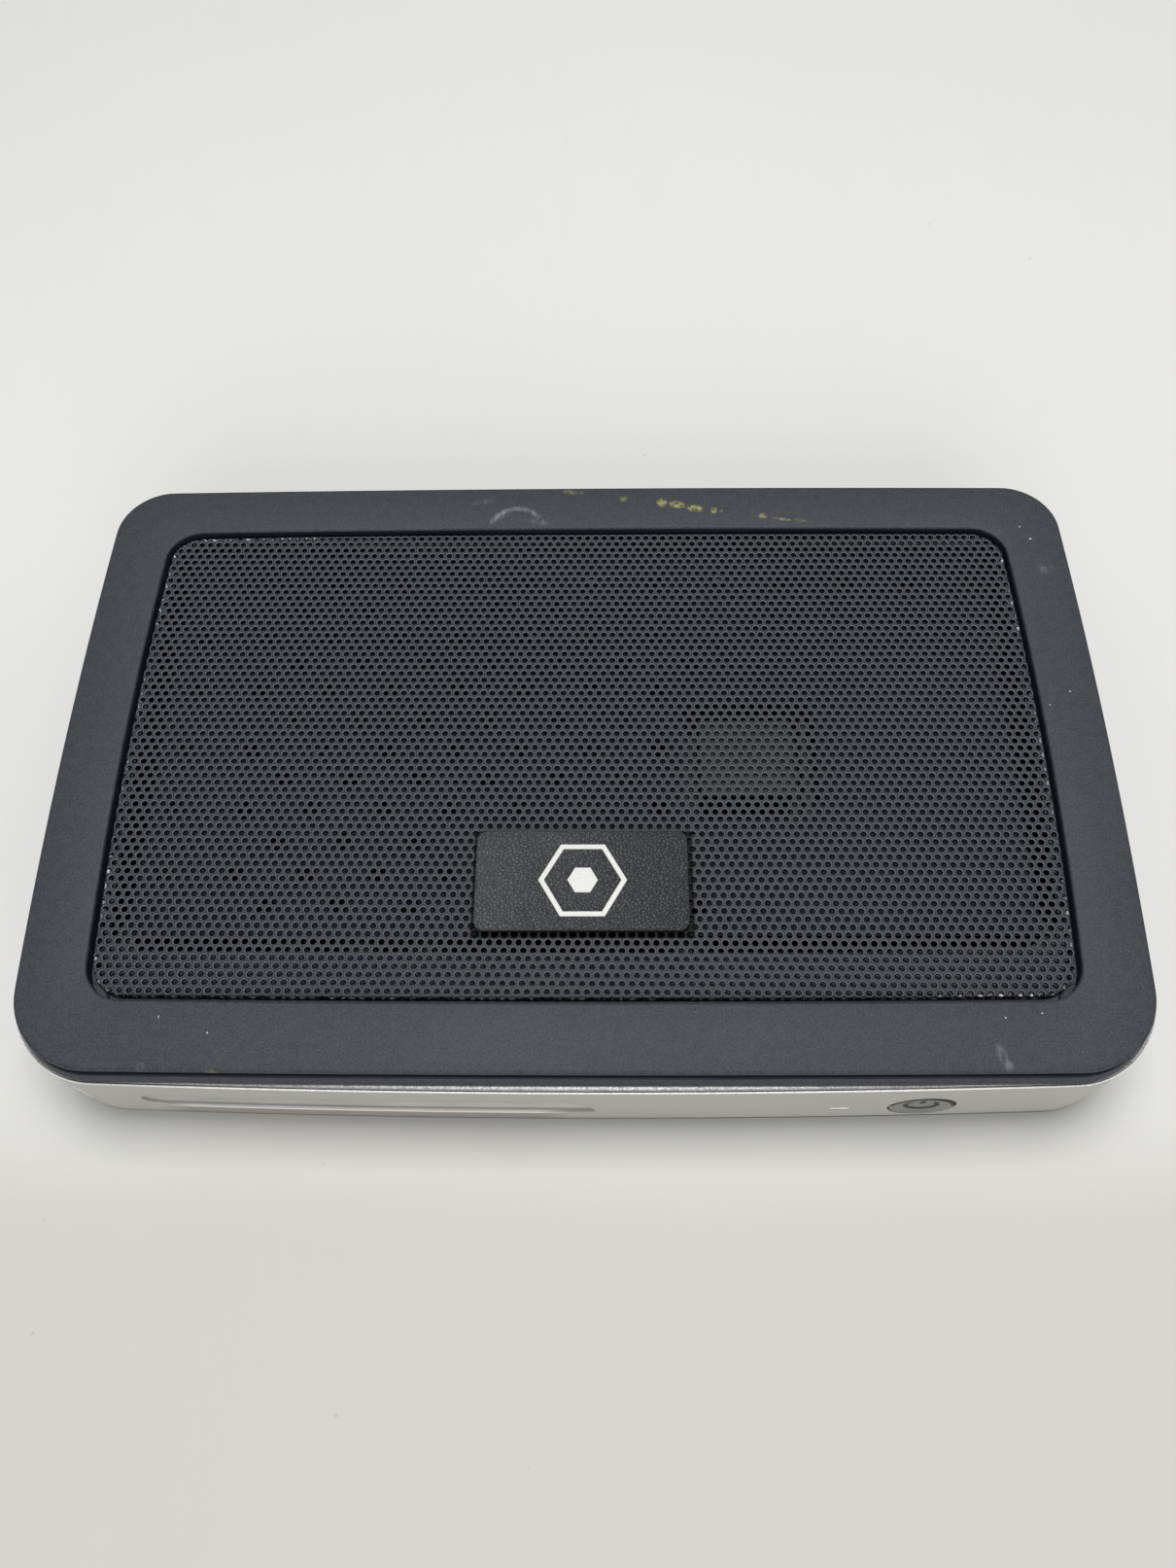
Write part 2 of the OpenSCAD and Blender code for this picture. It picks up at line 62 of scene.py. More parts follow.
def box_mm(node):
    """Lowest and highest corner of a CAD node, in millimetres."""
    low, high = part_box(node)
    return Vector(low) / MM, Vector(high) / MM


SHELL_LOW, SHELL_HIGH = box_mm("shell")
LID_LOW, LID_HIGH = box_mm("lid_frame")
GRILLE_LOW, GRILLE_HIGH = box_mm("grille")
TRIM_LOW, TRIM_HIGH = box_mm("trim_ring")
BADGE_LOW, BADGE_HIGH = box_mm("badge_plate")
BUTTON_LOW, BUTTON_HIGH = box_mm("power_button")
PIPE_LOW, PIPE_HIGH = box_mm("light_pipe")

BODY_W = SHELL_HIGH.x - SHELL_LOW.x
BODY_D = SHELL_HIGH.y - SHELL_LOW.y
FOOT_H = SHELL_LOW.z
SHELL_TOP = SHELL_HIGH.z
CORNER_R = 13.4
BACK_TIGHTER = 3.2
BOW_X = 1.4
BOW_Y = 1.8
SIDE_TUCK = 0.65
SIDE_BOW = 1.2
WALL = 2.0

FLANGE = 1.0
FLANGE_SIDE = 0.4
FLANGE_R = 13.2
LID_W = LID_HIGH.x - LID_LOW.x - 2 * FLANGE_SIDE
LID_D = LID_HIGH.y - LID_LOW.y - 2 * FLANGE
LID_R = 12.2
LID_BOW = 0.6
LID_TOP = LID_HIGH.z
LID_UNDER = LID_TOP - 2.0
FLANGE_LOW = TRIM_HIGH.z + 0.05

PANEL_GAP = 0.5
PANEL_Y = (GRILLE_HIGH.y + GRILLE_LOW.y) / 2
PANEL_TOP = GRILLE_HIGH.z
OPEN_W = GRILLE_HIGH.x - GRILLE_LOW.x + 2 * PANEL_GAP
OPEN_D = GRILLE_HIGH.y - GRILLE_LOW.y + 2 * PANEL_GAP
OPEN_R = 5.6
OPEN_BOW = 0.5
LEDGE_TOP = GRILLE_LOW.z
LEDGE_T = 0.55

BUTTON_X = (BUTTON_LOW.x + BUTTON_HIGH.x) / 2
BUTTON_Z = (BUTTON_LOW.z + BUTTON_HIGH.z) / 2
BUTTON_R = 5.1
LAMP_X = (PIPE_LOW.x + PIPE_HIGH.x) / 2
LAMP_Z = (PIPE_LOW.z + PIPE_HIGH.z) / 2

RECESS_X0 = -69.0
RECESS_X1 = 2.0
RECESS_Z0 = 6.5
RECESS_Z1 = 13.2
RECESS_DEPTH = 5.6

USB_Z = 9.85
USB_HOLE = (13.5, 6, 0.6)
USB_FRONT = (-56.0, -38.0)
USB_REAR = (4.0, 23.0)
JACK_XS = (-21.0, -9.0)
LAN_X = 47.0
DC_X = 62.0
VIDEO_X = -26.0
LOCK_X = -62.0
POSTS = [(sx * 75.5, sy * 43.5) for sx in (-1, 1) for sy in (-1, 1)]


# ---------------------------------------------------------------- mesh helpers

ARC_STEPS = 14
SIDE_STEPS = 60


def bowed(points, a, b, bow_x, bow_y):
    """Bows the four sides of an outline of half width a and half depth b outward."""
    x, y = points.T
    bowed_x = x * (1 + bow_x / a * (1 - (y / b) ** 2))
    bowed_y = y * (1 + bow_y / b * (1 - (x / a) ** 2))
    return np.stack((bowed_x, bowed_y), axis=1)


def ring(width, depth, front_r, back_r, bow_x=0.0, bow_y=0.0, inset=0.0, centre=(0.0, 0.0)):
    """Points round a rounded rectangle whose sides bow outward, anticlockwise from +X."""
    a = width / 2 - bow_x - inset
    b = depth / 2 - bow_y - inset
    signs = ((1, 1), (-1, 1), (-1, -1), (1, -1))
    arcs = []
    for quarter, (sx, sy) in enumerate(signs):
        r = max((back_r if sy > 0 else front_r) - inset, 0.01)
        t = np.radians(90 * (quarter + np.arange(ARC_STEPS + 1) / ARC_STEPS))
        arcs.append(np.stack((sx * (a - r) + r * np.cos(t), sy * (b - r) + r * np.sin(t)), axis=1))
    points = []
    for quarter, arc in enumerate(arcs):
        start, end = arc[-1], arcs[(quarter + 1) % 4][0]
        along = np.arange(1, SIDE_STEPS)[:, None] / SIDE_STEPS
        points += [arc, start + (end - start) * along]
    return bowed(np.concatenate(points), a, b, bow_x, bow_y) + np.array(centre)


def shell_ring(inset):
    width = BODY_W - 2 * SIDE_TUCK
    return ring(width, BODY_D, CORNER_R, CORNER_R - BACK_TIGHTER, SIDE_BOW, BOW_Y, inset)


def lid_ring(inset):
    return ring(LID_W, LID_D, LID_R, LID_R - BACK_TIGHTER, BOW_X, LID_BOW, inset)


def flange_ring(inset):
    """The flange's outline: it reaches further out in front and behind than at the sides."""
    width, depth = LID_W + 2 * FLANGE_SIDE, LID_D + 2 * FLANGE
    return ring(width, depth, FLANGE_R, FLANGE_R - BACK_TIGHTER, BOW_X, LID_BOW, inset)


def opening_ring(inset):
    return ring(OPEN_W, OPEN_D, OPEN_R, OPEN_R, BOW_X, OPEN_BOW, inset, (0, PANEL_Y))


def face_y(x):
    """Y of the shell's front face at a place along the width."""
    half = BODY_W / 2
    return -(BODY_D / 2 - BOW_Y + BOW_Y * (1 - (x / half) ** 2))


def fillet_path(corners, steps=4):
    """A path through corners (u, v, radius), with an arc at each corner that has a radius."""
    path = []
    for i, (u, v, r) in enumerate(corners):
        here = Vector((u, v))
        if r <= 0:
            path.append((u, v))
            continue
        before = (Vector(corners[i - 1][:2]) - here).normalized()
        after = (Vector(corners[(i + 1) % len(corners)][:2]) - here).normalized()
        half = before.angle(after) / 2
        centre = here + (before + after).normalized() * (r / math.sin(half))
        start = here + before * (r / math.tan(half)) - centre
        end = here + after * (r / math.tan(half)) - centre
        turn = start.angle_signed(end)
        for k in range(steps + 1):
            at = centre + Matrix.Rotation(-turn * k / steps, 2) @ start
            path.append((at.x, at.y))
    return path


def new_object(name, data):
    obj = bpy.data.objects.new(name, data)
    bpy.context.scene.collection.objects.link(obj)
    return obj


def make_mesh(name, points, faces, materials, sharp=40):
    """A new object from points in millimetres, smooth except at edges sharper than that angle."""
    mesh = bpy.data.meshes.new(name)
    mesh.from_pydata((np.asarray(points, float) * MM).tolist(), [], faces)
    for material in materials:
        mesh.materials.append(material)
    obj = new_object(name, mesh)
    smooth(obj, sharp)
    return obj


def smooth(obj, sharp=40):
    obj.data.polygons.foreach_set("use_smooth", [True] * len(obj.data.polygons))
    obj.data.set_sharp_from_angle(angle=math.radians(sharp))
    obj.data.update()


def full_turn(count):
    return np.linspace(0, 2 * math.pi, count + 1)[:-1]


def loft_faces(count, size, closed):
    """Quads that join each ring of a stack to the next one."""
    faces = []
    for k in range(count if closed else count - 1):
        low, high = k * size, (k + 1) % count * size
        for i in range(size):
            j = (i + 1) % size
            faces.append((low + i, low + j, high + j, high + i))
    return faces


def loft(name, rings, materials, closed=True, caps=False, sharp=40):
    """A skin over rings of (x, y, z) points, each with the same number of points."""
    size = len(rings[0])
    faces = loft_faces(len(rings), size, closed)
    if caps:
        faces.append(tuple(reversed(range(size))))
        faces.append(tuple(range(size * (len(rings) - 1), size * len(rings))))
    return make_mesh(name, np.concatenate(rings), faces, materials, sharp)


def at_height(points, z):
    return np.column_stack((points, np.full(len(points), z)))


def tube(name, x, y, outer, inner, z0, z1, material, chamfer=0.25):
    """An upright round post with a bore and eased ends."""
    profile = [
        (inner, z0 + chamfer), (inner + chamfer, z0), (outer - chamfer, z0), (outer, z0 + chamfer),
        (outer, z1 - chamfer), (outer - chamfer, z1), (inner + chamfer, z1), (inner, z1 - chamfer),
    ]
    turns = full_turn(32)
    circle = np.column_stack((np.cos(turns), np.sin(turns)))
    rings = [at_height(np.array((x, y)) + r * circle, z) for r, z in profile]
    return loft(name, rings, [material])


def slab(name, low, high, material):
    """A box between two corners, used for ribs and as a cutter."""
    (x0, y0, z0), (x1, y1, z1) = low, high
    points = [(x, y, z) for z in (z0, z1) for y in (y0, y1) for x in (x0, x1)]
    faces = [(0, 2, 3, 1), (4, 5, 7, 6), (0, 1, 5, 4), (2, 6, 7, 3), (0, 4, 6, 2), (1, 3, 7, 5)]
    return make_mesh(name, points, faces, [material] if material else [])


def slot_outline(x, z, width, height, radius, steps=6):
    """Outline of an upright rounded slot as (x, z) points, anticlockwise."""
    a, b, r = width / 2 - radius, height / 2 - radius, radius
    points = []
    for quarter, (sx, sz) in enumerate(((1, 1), (-1, 1), (-1, -1), (1, -1))):
        for i in range(steps + 1):
            t = math.radians(90 * (quarter + i / steps))
            points.append((x + sx * a + r * math.cos(t), z + sz * b + r * math.sin(t)))
    return points


def prism_y(name, outline, y0, y1):
    """A cutter with that (x, z) outline, from y0 to y1."""
    x, z = np.array(outline).T
    rings = [np.column_stack((x, np.full(len(x), y), z)) for y in (y1, y0)]
    return loft(name, rings, [], closed=False, caps=True)


def boolean(obj, tool, operation):
    """Applies one exact boolean and removes the tool."""
    modifier = obj.modifiers.new("boolean", "BOOLEAN")
    modifier.operation = operation
    modifier.solver = "EXACT"
    modifier.object = tool
    graph = bpy.context.evaluated_depsgraph_get()
    mesh = bpy.data.meshes.new_from_object(obj.evaluated_get(graph))
    obj.modifiers.clear()
    obj.data = mesh
    bpy.data.objects.remove(tool, do_unlink=True)


def join(parts, name):
    """Joins objects into one new object of that name, keeping their materials."""
    meshes = bmesh.new()
    materials = []
    for part in parts:
        offset = len(meshes.faces)
        meshes.from_mesh(part.data)
        meshes.faces.ensure_lookup_table()
        slots = []
        for material in part.data.materials:
            if material not in materials:
                materials.append(material)
            slots.append(materials.index(material))
        for face in meshes.faces[offset:]:
            face.material_index = slots[face.material_index] if slots else 0
    mesh = bpy.data.meshes.new(name)
    meshes.to_mesh(mesh)
    meshes.free()
    for material in materials:
        mesh.materials.append(material)
    for part in parts:
        bpy.data.objects.remove(part, do_unlink=True)
    return new_object(name, mesh)


def stands_for(obj, node):
    """obj takes the place of a CAD node and rides on its body."""
    body = next(b for b, nodes in frame["record"]["behaviour"]["bodies"].items() if node in nodes)
    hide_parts(node)
    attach(obj, body)
    return obj


# ---------------------------------------------------------------- material helpers


NOISE_RANGE = (0.3, 0.7)


class Shader:
    """Builds one node material. Texture coordinates are the frame's, in millimetres."""

    def __init__(self, name):
        self.material = bpy.data.materials.new(name)
        self.material.use_nodes = True
        self.tree = self.material.node_tree
        self.bsdf = self.tree.nodes["Principled BSDF"]
        object_place = self.node("ShaderNodeTexCoord").outputs["Object"]
        self.place = self.vector("MULTIPLY", object_place, [1 / MM] * 3)

    def node(self, kind, **settings):
        made = self.tree.nodes.new(kind)
        for key, value in settings.items():
            setattr(made, key, value)
        return made

    def put(self, socket, value):
        """Sets an input to a constant, or links it to another node's output."""
        if isinstance(value, bpy.types.NodeSocket):
            self.tree.links.new(value, socket)
        elif value is not None:
            is_colour = hasattr(value, "__len__") and socket.type == "RGBA" and len(value) == 3
            socket.default_value = (*value, 1) if is_colour else value

    def feed(self, node, **values):
        """Sets inputs of a node by their names, with _ for a space."""
        for key, value in values.items():
            self.put(node.inputs[key.replace("_", " ")], value)

    def set(self, **values):
        """Sets inputs of the Principled node."""
        self.feed(self.bsdf, **values)

    def noise(self, size, detail=3.0, rough=0.5, at=None, distortion=0.0):
        """Noise with features of about that size in millimetres."""
        made = self.node("ShaderNodeTexNoise")
        self.feed(made, Vector=at or self.place, Scale=1 / size, Distortion=distortion)
        self.feed(made, Detail=detail, Roughness=rough)
        return made.outputs["Fac"]

    def cells(self, size, feature="F1", output="Distance", randomness=1.0):
        made = self.node("ShaderNodeTexVoronoi", feature=feature)
        self.feed(made, Vector=self.place, Scale=1 / size, Randomness=randomness)
        return made.outputs[output]

    def math(self, operation, a, b=None):
        made = self.node("ShaderNodeMath", operation=operation)
        self.put(made.inputs[0], a)
        self.put(made.inputs[1], b)
        return made.outputs[0]

    def vector(self, operation, a, b=None):
        made = self.node("ShaderNodeVectorMath", operation=operation)
        self.put(made.inputs[0], a)
        self.put(made.inputs[1], b)
        return made.outputs["Value" if operation == "LENGTH" else "Vector"]

    def stretched(self, x=1.0, y=1.0, z=1.0):
        return self.vector("MULTIPLY", self.place, (x, y, z))

    def times(self, first, *others):
        """The product of its values."""
        for other in others:
            first = self.math("MULTIPLY", first, other)
        return first

    def blend(self, a, b, share):
        """A mixture of two values, with that share of the first."""
        return self.math("ADD", self.times(a, share), self.times(b, 1 - share))

    def span(self, value, low, high, to_low=0.0, to_high=1.0, smooth_step=False):
        """Maps value from low..high to to_low..to_high, clamped."""
        made = self.node("ShaderNodeMapRange")
        if smooth_step:
            made.interpolation_type = "SMOOTHSTEP"
        for index, number in enumerate((value, low, high, to_low, to_high)):
            self.put(made.inputs[index], number)
        return made.outputs["Result"]

    def mix(self, amount, a, b):
        made = self.node("ShaderNodeMix", data_type="RGBA")
        for index, value in ((0, amount), (6, a), (7, b)):
            self.put(made.inputs[index], value)
        return made.outputs[2]

    def tint(self, value, low_colour, high_colour):
        """One colour where a noise is low, another where it is high."""
        return self.mix(self.span(value, *NOISE_RANGE), low_colour, high_colour)

    def vary(self, value, low, high):
        """One number where a noise is low, another where it is high."""
        return self.span(value, *NOISE_RANGE, low, high)

    def over(self, colour, paint, *amounts):
        """colour with paint laid over it, by the product of the amounts."""
        return self.mix(self.times(*amounts), colour, paint)

    def split(self):
        made = self.node("ShaderNodeSeparateXYZ")
        self.put(made.inputs[0], self.place)
        return made.outputs

    def reach(self, x, y, half_x, half_y, angle=0.0):
        """Distance from (x, y) across the table's plane, 1 on an ellipse of those half axes."""
        turned = self.node("ShaderNodeVectorRotate", rotation_type="Z_AXIS")
        moved = self.vector("SUBTRACT", self.place, (x, y, 0))
        self.feed(turned, Vector=moved, Angle=-math.radians(angle))
        shaped = self.vector("MULTIPLY", turned.outputs["Vector"], (1 / half_x, 1 / half_y, 0))
        return self.vector("LENGTH", shaped)

    def spot(self, x, y, half_x, half_y, angle=0.0, edge=0.6):
        """1 inside an upright elliptic column at (x, y), fading to 0 over its outer part."""
        return self.span(self.reach(x, y, half_x, half_y, angle), 1, edge)

    def arc(self, x, y, half_x, half_y, width, whole=False):
        """1 on an upright elliptic ring, or on its back half, fading over its relative width."""
        off = self.math("SUBTRACT", self.reach(x, y, half_x, half_y), 1)
        line = self.span(self.math("ABSOLUTE", off), width, width * 0.3)
        if whole:
            return line
        return self.times(line, self.span(self.split()[1], y - 0.2, y + 1.2))

    def attribute(self, name):
        return self.node("ShaderNodeAttribute", attribute_name=name).outputs["Fac"]

    def bump(self, height, depth, strength=1.0):
        """Adds relief of that depth in millimetres to the Principled node."""
        made = self.node("ShaderNodeBump")
        self.feed(made, Height=height, Distance=depth * MM, Strength=strength)
        before = self.bsdf.inputs["Normal"]
        if before.is_linked:
            self.tree.links.new(before.links[0].from_socket, made.inputs["Normal"])
        self.tree.links.new(made.outputs["Normal"], before)
        return self


def grained(name, dark, light, grain=0.25, depth=0.02, rough=(0.45, 0.6), metallic=0.0):
    """A moulded or painted surface: fine grain, slow tone changes and uneven gloss."""
    s = Shader(name)
    fine = s.noise(grain, 3, 0.6)
    slow = s.noise(28, 3)
    tone = s.blend(fine, slow, 0.7)
    s.set(
        Base_Color=s.mix(s.span(tone, 0.35, 0.65), dark, light),
        Roughness=s.vary(slow, *rough),
        Metallic=metallic,
    )
    return s.bump(fine, depth).material


def brushed(name, dark, light, along="x", rough=0.32, grain=0.12):
    """Drawn or brushed metal with streaks along one axis."""
    s = Shader(name)
    stretch = {"x": (0.06, 1, 1), "y": (1, 0.06, 1), "z": (1, 1, 0.06)}[along]
    streaks = s.noise(grain, 3, 0.6, at=s.stretched(*stretch))
    stains = s.noise(4, 4)
    s.set(
        Base_Color=s.tint(streaks, dark, light),
        Metallic=0.95,
        Roughness=s.vary(stains, rough * 0.8, rough * 1.3),
    )
    return s.bump(streaks, 0.008).material


# ---------------------------------------------------------------- materials


def lid_material():
    """Black satin plastic with fine speckle, dust and the marks of use."""
    s = Shader("lid_plastic")
    speckle = s.noise(0.3, 2, 0.7)
    mottle = s.noise(1.6, 3, 0.6)
    slow = s.noise(45, 2)
    tone = s.blend(speckle, mottle, 0.8)
    colour = s.mix(s.span(tone, 0.36, 0.64), (0.012, 0.016, 0.025), (0.052, 0.057, 0.069))
    flecks = s.times(s.span(s.cells(1.1), 0.10, 0.05), s.span(s.noise(2.3, 1), 0.60, 0.66))
    colour = s.over(colour, (0.32, 0.32, 0.31), flecks, 0.35)
    # yellow residue along the back edge
    blots = s.span(s.noise(0.8, 4, 0.7), 0.40, 0.56)
    for x, y, half_x, half_y, amount in (
        (14.2, 50.9, 1.1, 1.15, 0.85), (17.0, 50.4, 1.7, 0.95, 0.95), (20.2, 49.5, 1.9, 0.85, 1.0),
        (23.7, 49.0, 0.7, 0.85, 0.8), (25.0, 48.8, 0.4, 0.4, 0.4), (32.6, 47.6, 0.9, 0.8, 0.6),
        (36.0, 46.9, 2.2, 0.4, 0.45), (39.4, 46.6, 1.3, 0.35, 0.4), (7.2, 51.8, 0.9, 0.7, 0.6),
        (-2.7, 53.4, 1.6, 0.6, 0.45), (-0.6, 53.3, 0.4, 0.5, 0.25), (-54.2, -54.3, 1.1, 0.45, 0.25),
    ):
        here = s.spot(x, y, half_x, half_y, -10, 0.55)
        colour = s.over(colour, (0.37, 0.35, 0.12), here, blots, amount)
    # pale rubbed smears, an arc and a scuff
    pale_mark = s.span(s.noise(0.9, 3, 0.7, at=s.stretched(1, 0.35, 1)), 0.36, 0.68)
    for x, y, half_x, half_y, angle, amount in (
        (-19.0, 51.2, 3.2, 0.8, 8, 0.22), (-8.6, 46.6, 2.6, 0.7, -12, 0.35),
        (-15.0, 48.2, 1.7, 1.1, 35, 0.3), (61.8, -51.6, 0.9, 1.9, 16, 0.55),
        (62.6, -53.2, 1.0, 1.1, 20, 0.45), (82.0, 35.5, 2.0, 1.6, 15, 0.22),
    ):
        here = s.spot(x, y, half_x, half_y, angle, 0.2)
        colour = s.over(colour, (0.33, 0.34, 0.33), here, pale_mark, amount)
    sweep = s.times(s.arc(-12.4, 45.6, 4.6, 4.0, 0.16), pale_mark)
    colour = s.over(colour, (0.33, 0.34, 0.35), sweep, 0.5)
    colour = s.over(colour, (0.4, 0.4, 0.4), s.arc(-64.8, -53.6, 0.5, 0.5, 0.5, whole=True), 0.07)
    # single bright dust specks
    for x, y, half_x, half_y, angle in (
        (-63.3, -46.1, 0.08, 0.3, 0), (-55.6, -48.5, 0.14, 0.16, 0), (63.1, -46.1, 0.14, 0.16, 30),
        (68.6, -45.4, 0.16, 0.12, 20), (80.4, 42.1, 0.3, 0.14, 20), (78.9, 44.8, 0.2, 0.12, 0),
        (82.1, 10.1, 0.28, 0.08, 10), (78.3, 7.5, 0.12, 0.12, 0), (-72.0, -38.0, 0.1, 0.1, 0),
    ):
        colour = s.mix(s.spot(x, y, half_x, half_y, angle, 0.6), colour, (0.62, 0.62, 0.60))
    s.set(Base_Color=colour, Roughness=s.vary(slow, 0.56, 0.62), Specular_IOR_Level=0.5)
    return s.bump(speckle, 0.03, 0.6).material


def shelf_material():
    """Grey dust on the ledge that backs the first rows of holes."""
    s = Shader("lid_ledge")
    dust = s.noise(0.5, 4, 0.7)
    slow = s.noise(14, 2)
    colour = s.tint(dust, (0.042, 0.047, 0.060), (0.080, 0.086, 0.102))
    s.set(Base_Color=colour, Roughness=s.vary(slow, 0.5, 0.65))
    return s.bump(dust, 0.02).material


def sheet_material():
    """Dark powder paint on the perforated sheet, with a pale ring painted round each hole's rim as a
    painted highlight.
    """
    s = Shader("sheet_paint")
    grain = s.noise(0.16, 3, 0.6)
    slow = s.noise(30, 3)
    rim = s.attribute("rim")
    bare_and_glint = s.attribute("bare_and_glint")
    tone = s.blend(grain, slow, 0.55)
    colour = s.tint(tone, (0.006, 0.008, 0.014), (0.014, 0.017, 0.026))
    # painted highlight: a pale ring round the rim of each hole
    colour = s.over(colour, (0.21, 0.215, 0.235), rim, 0.85)
    x, y, z = s.split()
    # painted shade: the sheet is darker below its top face, in the hole walls and down the rolled edge
    colour = s.over(colour, (0.005, 0.006, 0.010), s.span(z, PANEL_TOP - 0.1, PANEL_TOP - 0.3))
    # painted shadow: near black on the sheet round the badge, for its contact shadow and gap
    colour = s.over(
        colour, (0.004, 0.004, 0.005),
        s.span(x, BADGE_LOW.x - 0.55, BADGE_LOW.x - 0.35),
        s.span(x, BADGE_HIGH.x + 0.55, BADGE_HIGH.x + 0.35),
        s.span(y, BADGE_LOW.y - 0.9, BADGE_LOW.y - 0.65),
        s.span(y, BADGE_HIGH.y + 0.3, BADGE_HIGH.y + 0.1),
    )
    # bare metal where the rolled edge cuts through holes, lightened to pale grey as painted glints
    chips_and_glints = s.times(bare_and_glint, s.span(s.noise(0.9, 2), 0.46, 0.54))
    colour = s.mix(chips_and_glints, colour, (0.60, 0.60, 0.60))
    s.set(
        Base_Color=colour,
        Roughness=s.vary(slow, 0.4, 0.5),
        Specular_IOR_Level=0.13,
        Metallic=s.times(chips_and_glints, 0.6),
    )
    return s.bump(grain, 0.012).material


def badge_material():
    """Black plastic with a leather grain, and a painted sheen: glints and a lighter tone towards the
    left.
    """
    s = Shader("badge_grain")
    creases = s.cells(0.55, feature="DISTANCE_TO_EDGE")
    pores = s.noise(0.22, 3, 0.7)
    slow = s.noise(12, 2)
    relief = s.math("ADD", s.span(creases, 0.0, 0.16), s.times(pores, 0.8))
    # painted sheen: pale glints, more of them to the left, and a tone that turns darker to the right
    glints = s.span(s.noise(0.34, 2, 0.8), 0.56, 0.68)
    x, y, z = s.split()
    side = s.span(x, BADGE_LOW.x + 6, BADGE_HIGH.x - 4)
    plain = s.tint(slow, (0.034, 0.037, 0.042), (0.050, 0.053, 0.059))
    colour = s.mix(side, plain, (0.020, 0.022, 0.026))
    colour = s.over(colour, (0.20, 0.205, 0.21), glints, s.span(side, 0, 1, 0.75, 0.4))
    s.set(Base_Color=colour, Roughness=s.vary(pores, 0.36, 0.52))
    return s.bump(relief, 0.11, 0.9).material


def foil_material():
    """Matt silver foil, pitted by the grain under it."""
    s = Shader("badge_foil")
    pits = s.noise(0.3, 3, 0.7)
    worn = s.span(s.noise(0.8, 4, 0.7), 0.66, 0.74)
    colour = s.tint(pits, (0.52, 0.52, 0.51), (0.68, 0.68, 0.66))
    s.set(
        Base_Color=s.over(colour, (0.28, 0.28, 0.28), worn, 0.5),
        Roughness=s.vary(pits, 0.35, 0.55),
        Metallic=0.25,
    )
    return s.bump(pits, 0.03).material


def silver_material():
    """Satin silver paint with fine flake, a darker brownish band under the recess's lip, painted shade
    along the bottom edge and painted highlight on the lip.
    """
    s = Shader("silver_paint")
    flake = s.noise(0.14, 2, 0.7)
    slow = s.noise(22, 3)
    streak = s.noise(1.3, 3, 0.6, at=s.stretched(0.25, 1, 1))
    x, y, z = s.split()
    tone = s.blend(flake, slow, 0.6)
    colour = s.tint(tone, (0.415, 0.41, 0.39), (0.485, 0.48, 0.46))
    # how far a place lies behind the bowed face
    bow = s.times(x, x, 4 * BOW_Y / BODY_W**2)
    behind = s.math("SUBTRACT", s.math("ADD", y, BODY_D / 2), bow)
    # darker brownish band under the lip of the port recess
    low = s.span(z, RECESS_Z0 - 0.35, RECESS_Z0 - 0.6)
    left = s.span(x, RECESS_X0 + 1, RECESS_X0 + 6)
    right = s.span(x, RECESS_X1 - 4, RECESS_X1 - 9)
    front = s.span(y, face_y(0) + 12, face_y(0) + 11)
    under_lip_band = s.times(low, front, left, right, s.span(streak, 0.2, 0.6, 0.7, 1.0))
    colour = s.over(colour, (0.30, 0.275, 0.24), under_lip_band, 0.95)
    # painted highlight: a near-white line along the lip's rounded edge, where it catches the light; the
    # inside of the recess is painted lighter to lift it out of its shade
    pale_mark = s.times(
        s.span(z, RECESS_Z0 - 0.4, RECESS_Z0 - 0.3), s.span(z, RECESS_Z0 + 0.3, RECESS_Z0 + 0.2),
        s.span(x, RECESS_X0 + 3, RECESS_X0 + 7), s.span(x, RECESS_X1 - 4, RECESS_X1 - 9),
        s.span(behind, 0.5, 0.4),
    )
    colour = s.over(colour, (0.93, 0.92, 0.90), pale_mark, 0.9)
    # painted light: the inside of the recess painted pale
    recess_end = face_y(0) + RECESS_DEPTH
    colour = s.over(
        colour, (0.86, 0.855, 0.84),
        s.span(behind, 0.6, 0.9), s.span(y, recess_end + 1, recess_end),
        s.span(z, RECESS_Z0 - 0.3, RECESS_Z0 - 0.2), s.span(z, RECESS_Z1 + 0.3, RECESS_Z1 + 0.2),
        s.span(x, RECESS_X1 + 0.3, RECESS_X1 + 0.2),
    )
    # painted shade: a dark line along the bottom edge for the contact shadow under it, heavier to the
    # right
    low = s.span(z, FOOT_H + 1.3, FOOT_H + 0.9)
    colour = s.over(colour, (0.045, 0.043, 0.040), low, s.span(x, -75, 20, 0.5, 0.85))
    s.set(Base_Color=colour, Roughness=s.vary(slow, 0.38, 0.46), Metallic=0.2)
    return s.bump(flake, 0.008).material


def bead_material():
    """The shell's upper edge, painted near white as a painted highlight, and smoother than the face."""
    s = Shader("silver_bead_highlight")
    wear = s.noise(0.9, 4, 0.7)
    nicks = s.span(s.noise(0.5, 3, 0.7, at=s.stretched(0.4, 1, 1)), 0.78, 0.84)
    colour = s.tint(wear, (0.86, 0.86, 0.84), (0.95, 0.95, 0.93))
    s.set(
        Base_Color=s.mix(nicks, colour, (0.2, 0.2, 0.2)),
        Roughness=s.vary(wear, 0.22, 0.34),
        Metallic=0.3,
    )
    return s.bump(wear, 0.003).material


